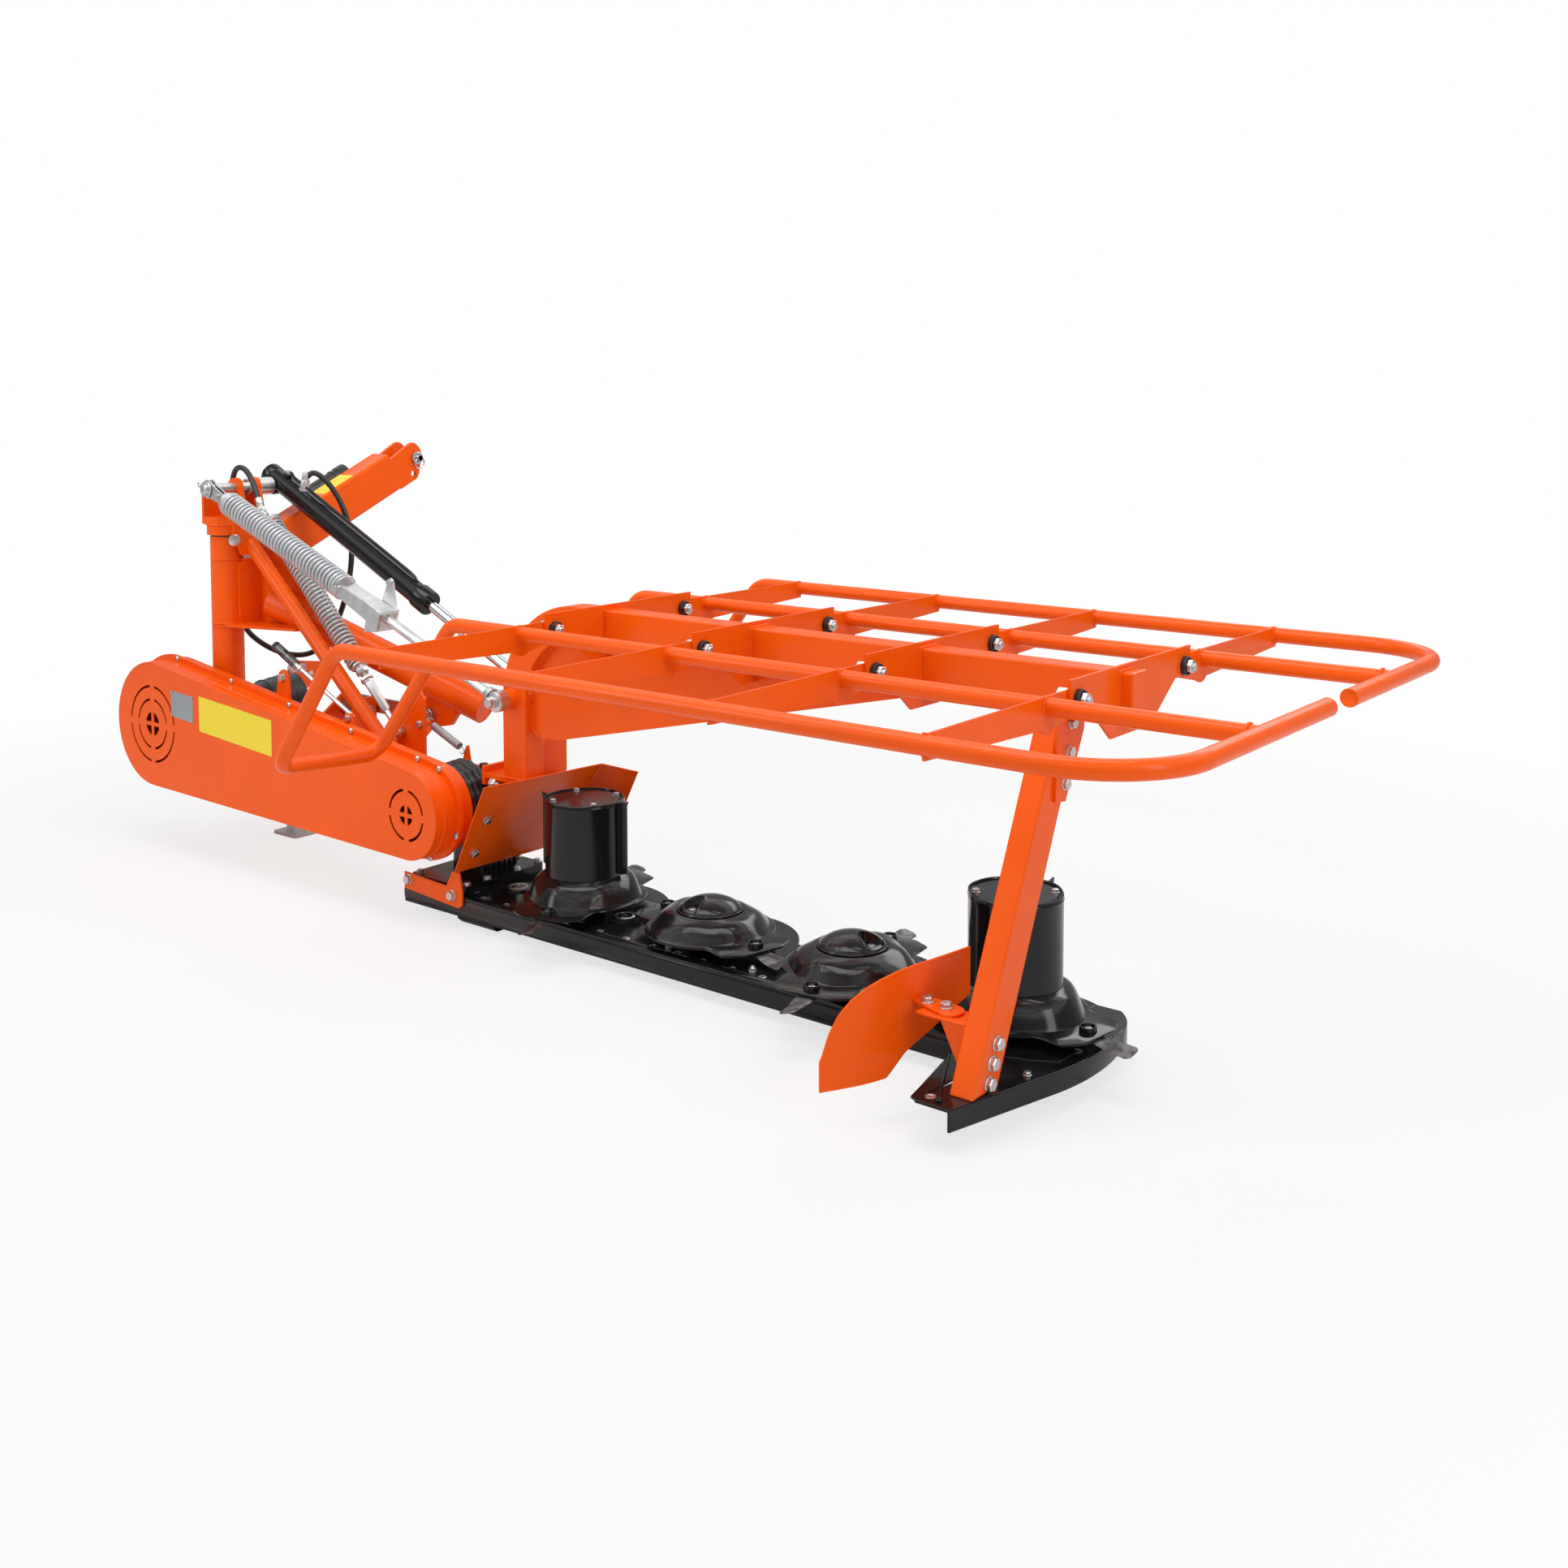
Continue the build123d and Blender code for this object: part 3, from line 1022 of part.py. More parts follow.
with BuildPart() as brace_spring_rod:
    bar_between(SPRING_LOW, SPRING_ANCHOR, 9)
    bar_between((SPRING_ANCHOR[0], 22, SPRING_ANCHOR[2]), (SPRING_ANCHOR[0], 45, SPRING_ANCHOR[2]), 13)
    bar_between((-896, SPRING_Y, 554), (-884, SPRING_Y, 543), 18)
    bar_between((-868, SPRING_Y, 528), (-856, SPRING_Y, 517), 18)
finish(brace_spring_rod, "brace_spring_rod")

# Lift cylinder: barrel with its offset lug on the cross pin, and the rod with its eye
CYLINDER_TOP = (pin_x, CYLINDER_Y, pin_height + CYLINDER_RISE)
CYLINDER_PIN = (CYLINDER_EYE[0], CYLINDER_Y, CYLINDER_EYE[1])
cylinder_length = hypot(CYLINDER_PIN[0] - CYLINDER_TOP[0], CYLINDER_PIN[2] - CYLINDER_TOP[2])
cylinder_x = (CYLINDER_PIN[0] - CYLINDER_TOP[0]) / cylinder_length
cylinder_z = (CYLINDER_PIN[2] - CYLINDER_TOP[2]) / cylinder_length


def on_cylinder(distance):
    """The point on the cylinder's axis at a distance from the cross pin."""
    return (CYLINDER_TOP[0] + cylinder_x * distance, CYLINDER_Y, CYLINDER_TOP[2] + cylinder_z * distance)


with BuildPart() as cylinder_barrel:
    bar_between(on_cylinder(-48), on_cylinder(BARREL_LENGTH), BARREL_RADIUS)
    bar_between(on_cylinder(BARREL_LENGTH - 40), on_cylinder(BARREL_LENGTH + 8), BARREL_RADIUS + 4)
    with BuildSketch(side_plane(CYLINDER_Y + 26)) as lug:
        with Locations((pin_x, pin_height)):
            Circle(27)
    extrude(lug.sketch, amount=52)
    with BuildSketch(side_plane(CYLINDER_Y + 40)) as lug_bore:
        with Locations((pin_x, pin_height)):
            Circle(CROSS_PIN_RADIUS + RUNNING_CLEARANCE)
    extrude(lug_bore.sketch, amount=80, mode=Mode.SUBTRACT)
    bar_between(ELBOW_FOOT, HOSE_POINTS[0], 9)
    with BuildSketch(Plane(origin=on_cylinder(BARREL_BORE_START), z_dir=(cylinder_x, 0, cylinder_z))) as core:
        Circle(ROD_RADIUS + RUNNING_CLEARANCE)
    extrude(core.sketch, amount=BARREL_LENGTH, mode=Mode.SUBTRACT)
finish(cylinder_barrel, "cylinder_barrel")

with BuildPart() as cylinder_rod:
    bar_between(on_cylinder(BARREL_LENGTH - 290), on_cylinder(cylinder_length - 20), ROD_RADIUS)
    eye_face = CYLINDER_Y + CYLINDER_EYE_THICKNESS / 2
    bar_between((CYLINDER_PIN[0], eye_face - CYLINDER_EYE_THICKNESS, CYLINDER_PIN[2]), (CYLINDER_PIN[0], eye_face, CYLINDER_PIN[2]), 28)
    bar_between((CYLINDER_PIN[0], eye_face, CYLINDER_PIN[2]), (CYLINDER_PIN[0], eye_face + 10, CYLINDER_PIN[2]), 16)
finish(cylinder_rod, "cylinder_rod")

# Float spring link: coil and channel hung on the cross pin, over the rod that holds the arm
FLOAT_TOP = (pin_x, FLOAT_EYE[1], pin_height)
float_length = hypot(FLOAT_EYE[0] - pin_x, FLOAT_EYE[2] - pin_height)
float_x = (FLOAT_EYE[0] - pin_x) / float_length
float_z = (FLOAT_EYE[2] - pin_height) / float_length
FLOAT_DIRECTION = (float_x, 0, float_z)


def on_float(distance):
    """The point on the float link's axis at a distance from the cross pin."""
    return (pin_x + float_x * distance, FLOAT_EYE[1], pin_height + float_z * distance)


with BuildPart() as float_spring:
    eye = FLOAT_EYE[1]
    bar_between((pin_x, eye - 8, pin_height), (pin_x, eye + 8, pin_height), 27)
    bar_between(on_float(20), on_float(96), 12)
    bar_between(on_float(96), on_float(FLOAT_COIL_END), FLOAT_COIL_RADIUS)
    with BuildSketch(side_plane(eye + 20)) as eye_bore:
        with Locations((pin_x, pin_height)):
            Circle(CROSS_PIN_RADIUS + RUNNING_CLEARANCE)
    extrude(eye_bore.sketch, amount=40, mode=Mode.SUBTRACT)
    with BuildSketch(Plane(origin=on_float(FLOAT_CORE_START), z_dir=FLOAT_DIRECTION)) as core:
        Circle(FLOAT_ROD_RADIUS + RUNNING_CLEARANCE)
    extrude(core.sketch, amount=FLOAT_COIL_END, mode=Mode.SUBTRACT)
finish(float_spring, "float_spring")

with BuildPart() as float_channel:
    level = Vector(0, 0, 1).cross(Vector(*FLOAT_DIRECTION))
    frame = Plane(origin=on_float(FLOAT_COIL_END), x_dir=level, z_dir=FLOAT_DIRECTION)
    with BuildSketch(frame) as channel:
        Rectangle(58, 50)
        with Locations((0, -8)):
            Rectangle(46, 50, mode=Mode.SUBTRACT)
    extrude(channel.sketch, amount=FLOAT_CHANNEL_LENGTH)
    with BuildSketch(frame.offset(0)) as end_plate:
        Rectangle(58, 50)
        Circle(FLOAT_ROD_RADIUS + RUNNING_CLEARANCE, mode=Mode.SUBTRACT)
    extrude(end_plate.sketch, amount=6)
    with BuildSketch(frame.offset(FLOAT_CHANNEL_LENGTH - 6)) as far_plate:
        Rectangle(58, 50)
        Circle(FLOAT_ROD_RADIUS + RUNNING_CLEARANCE, mode=Mode.SUBTRACT)
    extrude(far_plate.sketch, amount=6)
    middle = on_float(FLOAT_COIL_END + FLOAT_CHANNEL_LENGTH * 0.62)
    lug_plane = Plane(origin=(middle[0], middle[1] + 4, middle[2]), x_dir=FLOAT_DIRECTION, z_dir=(0, -1, 0))
    with BuildSketch(lug_plane) as lug:
        Polygon((-24, 25), (58, 25), (10, 72), (-18, 72), align=None)
        with Locations((-4, 56)):
            Circle(9, mode=Mode.SUBTRACT)
    extrude(lug.sketch, amount=8)
finish(float_channel, "float_channel")

with BuildPart() as float_rod:
    bar_between(on_float(FLOAT_COIL_END - 110), on_float(float_length - 20), FLOAT_ROD_RADIUS)
    half = FLOAT_EYE_THICKNESS / 2
    eye_x, eye_y, eye_z = FLOAT_EYE
    bar_between((eye_x, eye_y - half, eye_z), (eye_x, eye_y + half, eye_z), 26)
    bar_between((eye_x, eye_y - half - 12, eye_z), (eye_x, eye_y - half, eye_z), 13)
finish(float_rod, "float_rod")

# Supply hose, hung free from the cylinder's head, and the quick coupler at its end
with BuildPart() as supply_hose:
    with BuildLine() as hose_line:
        Polyline(*HOSE_POINTS)
    for index in range(len(HOSE_POINTS) - 1):
        bar_between(HOSE_POINTS[index], HOSE_POINTS[index + 1], HOSE_RADIUS)
finish(supply_hose, "supply_hose")

with BuildPart() as hose_coupler:
    bar_between(COUPLER_START, COUPLER_MIDDLE, 10)
    bar_between(COUPLER_MIDDLE, COUPLER_END, 15)
finish(hose_coupler, "hose_coupler")
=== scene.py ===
import json
from math import atan2, copysign, cos, hypot, pi, radians, sin, sqrt

import bmesh
import bpy
from bpy.props import FloatProperty, FloatVectorProperty, IntProperty, PointerProperty
from bpy.types import Operator, Panel, PropertyGroup
from mathutils import Matrix, Vector


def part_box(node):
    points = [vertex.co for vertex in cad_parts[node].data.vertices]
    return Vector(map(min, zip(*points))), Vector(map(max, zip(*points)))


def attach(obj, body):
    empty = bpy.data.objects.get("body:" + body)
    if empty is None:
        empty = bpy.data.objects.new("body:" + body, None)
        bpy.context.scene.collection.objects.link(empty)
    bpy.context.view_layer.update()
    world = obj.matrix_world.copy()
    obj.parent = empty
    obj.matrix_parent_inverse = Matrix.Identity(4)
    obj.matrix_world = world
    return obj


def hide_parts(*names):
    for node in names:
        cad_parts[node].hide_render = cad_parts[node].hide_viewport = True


bl_info = {
    "name": "Disc mower dressing",
    "version": (1, 0, 0),
    "blender": (4, 5, 0),
    "location": "View3D > Sidebar > Mower",
    "description": "Springs, discs, hose, bolts, welds and paint for a rear-mounted disc mower",
    "category": "Object",
}

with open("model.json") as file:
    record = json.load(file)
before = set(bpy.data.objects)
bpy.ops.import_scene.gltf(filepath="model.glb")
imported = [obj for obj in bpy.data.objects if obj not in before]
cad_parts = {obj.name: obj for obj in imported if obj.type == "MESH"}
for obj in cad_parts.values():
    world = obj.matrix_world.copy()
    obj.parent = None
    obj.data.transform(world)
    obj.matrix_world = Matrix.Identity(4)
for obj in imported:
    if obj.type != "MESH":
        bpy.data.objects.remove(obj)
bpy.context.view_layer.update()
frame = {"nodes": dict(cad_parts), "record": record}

# Lengths are millimetres from the first disc's axis, the disc line and the ground, as on the
# drawing of the machine. Blender's own unit is the metre.
MM = 0.001
DISC_ONE_X = sum(corner.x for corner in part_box("drum_1")) / 2
TURN = 2 * pi
X, Y, Z = Vector((1, 0, 0)), Vector((0, 1, 0)), Vector((0, 0, 1))
WHITE = (1, 1, 1, 1)

# Headstock: its column, the pin across its top, and the mast's foot with the mast's own directions
COLUMN_X, COLUMN_Y, COLUMN_RADIUS = -1400, -45, 44.5
CROSS_PIN_X, CROSS_PIN_Z = -1391, 1041
MAST_X, MAST_FOOT_Y, MAST_FOOT_Z = -1362, 60, 855
MAST_HALF_WIDTH, EAR_THICKNESS = 42, 12
MAST_ALONG, MAST_UP = Vector((0, 0.904, 0.428)), Vector((0, -0.428, 0.904))
ARM_START, ARM_AXIS = Vector((-1281, 30, 714)), Vector((682, 190, -258))

# Belt guard: centre in X and Z and radius of its two ends, and the depth of its faces
BIG_END = (-1519, 366, 178)
SMALL_END = (-400, 282, 112)
COVER_FACE_Y = -220
FLANGE_FACE_Y = -154
TENSIONER_Y = -84

# Cutter bar, guard halves and outer shoe
FOLD_X, FOLD_Z = -400, 282
BAR_TOP, COVER_TOP, GEARBOX_TOP = 75.6, 80, 98
ROLL_Y, ROLL_Z = -121, 51
REAR_RIVETS = (-246, -163, 154, 238, 322, 396, 471, 555, 640, 722, 806, 890, 974, 1058)
FRONT_RIVETS = (-250, 205, 600, 1000)
BRACKETS_X = (125, 566, 1007, 1448)
HINGE_Y, HINGE_Z = 218, 794
GUARD_TUBE_RADIUS = 16.85
GUARD_TUBE_Z = 795
GUARD_TUBE_END = 1828
INNER_TUBE_Y, OUTER_TUBE_Y = 315, 700
SUPPORT_FACE_X = 1335
DEFLECTOR_BOLTS = ((-185, -148, 292), (-257, -126, 193))

# Each disc: body, CAD names of disc and blades, place in X, heading of its long axis, and the
# heading of the opening in its domed cap, or none where it carries a drum
DISCS = (
    ("disc_one", "drum_1", "blades_1", 0, 105, None),
    ("disc_two", "domed_disc_2", "blades_2", 400, -15, 252),
    ("disc_three", "domed_disc_3", "blades_3", 800, 98, 6),
    ("disc_four", "drum_4", "blades_4", 1200, -8, None),
)
DISC_RADIUS, DRUM_RADIUS, CAP_RADIUS = 150, 96, 73
BLADE_BOLT_RADIUS, LID_BOLT_RADIUS, CAP_BOLT_RADIUS = 178, 79, 46
# A disc's nose: how far it reaches, half of its flat end, the slope of its corners, and how far
# its flanks lie from the long axis
NOSE_REACH, NOSE_HALF_WIDTH, NOSE_SLOPE, NOSE_FLANK = 207, 52, 0.62, 92

# Way of the supply hose, from the elbow on the cylinder's head to the quick coupler
HOSE_POINTS = (
    (-1268.2, 134, 1055.3), (-1264.7, 134, 1068.3), (-1240, 150, 1088), (-1205, 192, 1030),
    (-1160, 205, 940), (-1145, 205, 820), (-1190, 195, 660), (-1300, 190, 532), (-1420, 130, 532),
    (-1510, 60, 620), (-1500, 40, 800), (-1484, 30, 1000), (-1432, 8, 1104), (-1340, 0, 1090),
    (-1290, -10, 1010),
)
COUPLER_END = Vector((-1225.7, -22.86, 907.12))
ELBOW_FOOT = Vector((-1282.2, 134, 1003.3))

# The links that run down from the cross pin, from their pins to their lower eyes
FLOAT_PIN, FLOAT_EYE = Vector((CROSS_PIN_X, -100, CROSS_PIN_Z)), Vector((-190, -100, 574))
CYLINDER_PIN, CYLINDER_EYE = Vector((-1391, 134, 1054)), Vector((-181, 134, 490))
BRACE_SPRING_TOP, BRACE_SPRING_LOW = Vector((-1300, 35, 948)), Vector((-905, 35, 566))
BRACE_SPRING_ANCHOR = Vector((-735, 35, 402))

# Upper and lower edge of the swath board: distance along it, and height
BOARD_TOP = ((0, 262), (150, 265), (200, 262), (239, 254), (270, 243), (300, 225), (325, 200),
             (345, 165), (358, 125), (370, 100))
BOARD_LOW = ((0, 168), (60, 150), (120, 128), (160, 114), (185, 102), (228, 64), (300, 60),
             (370, 57))

# Nodes whose cut edges are rounded, with how strongly
ROUNDED = {
    "outer_support": 2.4, "post_arm": 1.6, "guard_beam": 2.4, "swing_beam": 1.6, "cutter_bar": 2.0,
    "hinge_yoke": 1.0, "inner_deflector": 1.0, "outer_shoe": 2.0, "inner_strap": 1.0,
    "guard_brackets": 0.8,
}

# Lamps, in metres: name, place, what it faces, size, power
LAMPS = (
    ("overhead_softbox", (0.3, -0.6, 4.2), (0.0, 0.0, 0.4), (4.2, 1.6), 92),
    ("left_softbox", (-2.6, -4.2, 2.6), (-0.3, 0.0, 0.5), (1.2, 2.4), 44),
    ("right_softbox", (4.6, -1.0, 2.2), (0.6, 0.0, 0.4), (1.0, 2.4), 30),
    ("far_softbox", (0.5, 4.4, 3.0), (0.2, 0.0, 0.5), (3.6, 1.2), 34),
)


class MowerLooks(PropertyGroup):
    """Colours and sizes that someone might change on the dressed machine."""

    orange: FloatVectorProperty(name="Frame paint", description="Colour of the painted frame",
                                subtype="COLOR", size=3, min=0, max=1, default=(0.88, 0.104, 0.002))
    black: FloatVectorProperty(name="Bar paint", subtype="COLOR", size=3, min=0, max=1,
                               description="Colour of the cutter bar, discs and cylinder",
                               default=(0.0065, 0.0065, 0.0075))
    sheet: FloatVectorProperty(name="Blank sheet", subtype="COLOR", size=3, min=0, max=1,
                               description="Colour of the blank sheet on the belt guard",
                               default=(0.86, 0.68, 0.015))
    float_wire: FloatProperty(name="Float spring wire", description="Wire of the float spring",
                              unit="LENGTH", min=0.005, max=0.012, default=0.0102)
    float_turns: IntProperty(name="Float spring turns", description="Turns of the float spring",
                             min=20, max=60, default=37)
    brace_wire: FloatProperty(name="Brace spring wire", description="Wire of the brace spring",
                              unit="LENGTH", min=0.004, max=0.01, default=0.008)
    brace_turns: IntProperty(name="Brace spring turns", description="Turns of the brace spring",
                             min=20, max=70, default=41)
    weld: FloatProperty(name="Weld bead", description="Radius of the weld beads", unit="LENGTH",
                        min=0.001, max=0.006, default=0.0032)
    edge: FloatProperty(name="Edge rounding", description="Rounding of plate and tube edges",
                        unit="LENGTH", min=0.0005, max=0.004, default=0.0016)


def looks():
    """The looks that are set on the scene."""
    return bpy.context.scene.mower_looks


# Places and curves


def metres(point):
    """A place on the drawing, in Blender's frame."""
    return Vector((DISC_ONE_X + point[0] * MM, point[1] * MM, point[2] * MM))


def between(start, end, distance):
    """The point at a distance along the line from start towards end, in millimetres."""
    return start + (end - start).normalized() * distance


def angles(count, start=0.0):
    """Angles evenly round a full turn, in radians."""
    return [TURN * k / count + start for k in range(count)]


def arc(centre, across, up, radius, start=0.0, sweep=360.0, steps=24):
    """Points round an arc, its angles in degrees from across towards up."""
    turns = [radians(start + sweep * k / steps) for k in range(steps + (abs(sweep) < 360))]
    return [Vector(centre) + (across * cos(t) + up * sin(t)) * radius for t in turns]


def spoke(place, radius, heading, height):
    """A point at a radius and a heading in degrees from a disc's axis."""
    t = radians(heading)
    return (place + radius * cos(t), radius * sin(t), height)


def link_axes(pin, eye):
    """A link's own directions: along it, and upward across it."""
    along = (eye - pin).normalized()
    return along, along.cross(Y)


def on_mast(x, along, up):
    """A place on the headstock's mast, along it and up from its middle line."""
    return Vector((x, MAST_FOOT_Y, MAST_FOOT_Z)) + MAST_ALONG * along + MAST_UP * up


# Shader graphs


class Value:
    """A node's output; arithmetic on it adds Math nodes."""

    def __init__(self, graph, socket):
        self.graph = graph
        self.socket = socket

    def math(self, operation, first, second):
        return self.graph.value("ShaderNodeMath", {0: first, 1: second}, operation=operation)

    def __add__(self, other):
        return self.math("ADD", self, other)

    def __radd__(self, other):
        return self.math("ADD", other, self)

    def __sub__(self, other):
        return self.math("SUBTRACT", self, other)

    def __rsub__(self, other):
        return self.math("SUBTRACT", other, self)

    def __mul__(self, other):
        return self.math("MULTIPLY", self, other)

    def __rmul__(self, other):
        return self.math("MULTIPLY", other, self)

    def __gt__(self, other):
        return self.math("GREATER_THAN", self, other)


class Graph:
    """The node tree of one material or of the world."""

    def __init__(self, owner):
        owner.use_nodes = True
        self.tree = owner.node_tree
        self.tree.nodes.clear()

    def node(self, kind, inputs=None, **settings):
        made = self.tree.nodes.new(kind)
        for key, setting in settings.items():
            setattr(made, key, setting)
        for key, given in (inputs or {}).items():
            if isinstance(given, Value):
                self.tree.links.new(given.socket, made.inputs[key])
            else:
                made.inputs[key].default_value = given
        return made

    def value(self, kind, inputs=None, output=0, **settings):
        return Value(self, self.node(kind, inputs, **settings).outputs[output])

    def noise(self, scale, detail=3.0, stretch=None):
        """Noise over the object's own metres, from about 0.3 to 0.7."""
        place = self.value("ShaderNodeTexCoord", output="Object")
        if stretch:
            place = self.value("ShaderNodeVectorMath", {0: place, 1: stretch}, operation="MULTIPLY")
        return self.value("ShaderNodeTexNoise", {"Vector": place, "Scale": scale, "Detail": detail})

    def ramp(self, source, *stops):
        """Grey levels read from a source; each stop is (place, level)."""
        made = self.node("ShaderNodeValToRGB", {0: source})
        elements = made.color_ramp.elements
        while len(elements) < len(stops):
            elements.new(0.5)
        for element, (place, level) in zip(elements, stops):
            element.position = place
            element.color = (level, level, level, 1)
        return Value(self, made.outputs[0])

    def patches(self, scale, detail, low, high, stretch=None):
        """Noise drawn out to 0 below one level and to 1 above another."""
        return self.ramp(self.noise(scale, detail, stretch), (low, 0.0), (high, 1.0))

    def mix(self, factor, first, second):
        """Colours mixed by a factor."""
        return self.value("ShaderNodeMix", {0: factor, 6: first, 7: second}, output=2,
                          data_type="RGBA")

    def bump(self, height, strength, distance):
        return self.value("ShaderNodeBump",
                          {"Height": height, "Strength": strength, "Distance": distance})

    def principled(self, **sockets):
        return self.value("ShaderNodeBsdfPrincipled",
                          {key.replace("_", " "): given for key, given in sockets.items()})

    def background(self, strength):
        return self.value("ShaderNodeBackground", {"Color": WHITE, "Strength": strength})

    def blend(self, factor, first, second):
        """Shaders mixed by a factor."""
        return self.value("ShaderNodeMixShader", {0: factor, 1: first, 2: second})

    def surface(self, shader, kind="ShaderNodeOutputMaterial"):
        self.node(kind, {"Surface": shader})


def shade(colour, level=1.0):
    """A colour made lighter or darker, with the alpha that a socket wants."""
    return tuple(min(1.0, part * level) for part in colour) + (1.0,)


def enamel(graph, colour, roughness, coat, shine):
    """Sprayed gloss enamel: fine orange peel, slow drift of tone, a few duller patches, dust."""
    drift = graph.patches(2.6, 4.0, 0.32, 0.68)
    dull = graph.patches(11.0, 5.0, 0.45, 0.7)
    dust = graph.patches(480.0, 2.0, 0.66, 0.74)
    tone = graph.mix(drift, shade(colour, 0.94), shade(colour, 1.05))
    tone = graph.mix(dust * 0.05, tone, shade((0.5, 0.47, 0.43)))
    peel = graph.noise(330.0, 2.0) + graph.noise(38.0, 2.0) * 0.5
    graph.surface(graph.principled(
        Base_Color=tone, Roughness=roughness + dull * 0.09, Coat_Weight=coat, Coat_Roughness=0.09,
        Specular_IOR_Level=shine, Normal=graph.bump(peel, 0.1, 0.0006)))


def plated(graph, colour, roughness, warm, metallic=1.0):
    """Zinc plate or bare bright steel, with passivation tints and small rubs."""
    tint = graph.patches(34.0, 3.0, 0.38, 0.64)
    rub = graph.patches(150.0, 4.0, 0.5, 0.75, (1, 1, 5))
    warmer = tuple(part * share for part, share in zip(colour, warm))
    graph.surface(graph.principled(
        Base_Color=graph.mix(tint, shade(colour, 0.9), shade(warmer, 1.08)),
        Metallic=metallic, Roughness=roughness + rub * 0.14,
        Normal=graph.bump(graph.noise(420.0), 0.08, 0.0003)))


def chrome(graph):
    """Ground and plated rod, smeared with oil."""
    smear = graph.patches(22.0, 4.0, 0.4, 0.7, (1, 1, 3))
    graph.surface(graph.principled(
        Base_Color=graph.mix(smear, shade((0.78, 0.79, 0.81)), shade((0.7, 0.71, 0.73))),
        Metallic=1.0, Roughness=0.07 + smear * 0.08))


def blade_steel(graph):
    """Hardened steel with mill scale, ground brighter in streaks."""
    scale = graph.patches(46.0, 5.0, 0.4, 0.62)
    grind = graph.noise(260.0, 2.0, (1, 6, 6))
    graph.surface(graph.principled(
        Base_Color=graph.mix(scale, shade((0.055, 0.054, 0.056)), shade((0.2, 0.2, 0.21))),
        Metallic=0.85, Roughness=0.3 + grind * 0.3, Normal=graph.bump(grind, 0.2, 0.0005)))


def moulded(graph, colour, roughness, grain, depth):
    """Rubber or moulded plastic with a fine grain and a grey bloom."""
    bloom = graph.patches(14.0, 5.0, 0.42, 0.72)
    graph.surface(graph.principled(
        Base_Color=graph.mix(bloom, shade(colour, 0.85), shade(colour, 1.5)),
        Roughness=roughness + bloom * 0.12, Normal=graph.bump(graph.noise(grain), 0.35, depth)))


def bronze(graph):
    """The brown friction roller, streaked round its girth."""
    streak = graph.patches(60.0, 4.0, 0.36, 0.66, (6, 1, 1))
    graph.surface(graph.principled(
        Base_Color=graph.mix(streak, shade((0.2, 0.075, 0.022)), shade((0.46, 0.23, 0.09))),
        Metallic=0.45, Roughness=0.38 + streak * 0.2, Normal=graph.bump(streak, 0.25, 0.0006)))


def brushed_sheet(graph, colour, metallic, roughness):
    """A thin blank sheet or plate, brushed along X."""
    brush = graph.noise(900.0, 2.0, (0.04, 1, 1))
    graph.surface(graph.principled(
        Base_Color=graph.mix(brush, shade(colour, 0.88), shade(colour, 1.08)), Metallic=metallic,
        Roughness=roughness + brush * 0.12, Normal=graph.bump(brush, 0.06, 0.0002)))


def pale_floor(graph):
    """A matt floor that fades far out, for the camera alone, into the white surround."""
    seen = graph.value("ShaderNodeLightPath", output="Is Camera Ray")
    speck = graph.ramp(graph.noise(5.0, 4.0), (0.3, 0.97), (0.7, 1.0))
    ground = graph.principled(Base_Color=graph.mix(speck, shade((0.73,) * 3), shade((0.76,) * 3)),
                              Roughness=1.0, Specular_IOR_Level=0.0)
    glow = graph.value("ShaderNodeEmission", {"Color": WHITE, "Strength": 1.0})
    place = graph.value("ShaderNodeTexCoord", output="Object")
    reach = graph.value("ShaderNodeVectorMath", {0: place}, output=1, operation="LENGTH")
    fade = graph.ramp(reach * 0.2, (0.42, 0.72), (0.72, 1.0))
    graph.surface(graph.blend(seen * fade, ground, glow))


def white_surround(graph):
    """Soft light on the machine, white behind it, and a bright ceiling for what is glossy."""
    path = graph.node("ShaderNodeLightPath")
    camera, glass, glossy = (Value(graph, path.outputs[f"Is {kind} Ray"])
                             for kind in ("Camera", "Transmission", "Glossy"))
    plain = (camera + glass) > 0.5
    shiny = glossy > 0.5
    soft, bright = graph.background(0.66), graph.background(1.0)
    ray = graph.value("ShaderNodeTexCoord", output="Generated")
    height = graph.value("ShaderNodeSeparateXYZ", {0: ray}, output="Z")
    ceiling = graph.ramp(height, (0.0, 0.26), (0.46, 0.22), (0.58, 1.0), (0.8, 1.0), (0.93, 0.3))
    lit = graph.blend(shiny, soft, graph.background(ceiling * 1.5))
    graph.surface(graph.blend(plain, lit, bright), "ShaderNodeOutputWorld")


def material(name, recipe, *given):
    """A material whose graph a recipe fills in."""
    made = bpy.data.materials.new(name)
    recipe(Graph(made), *given)
    return made


FINISHES = {}


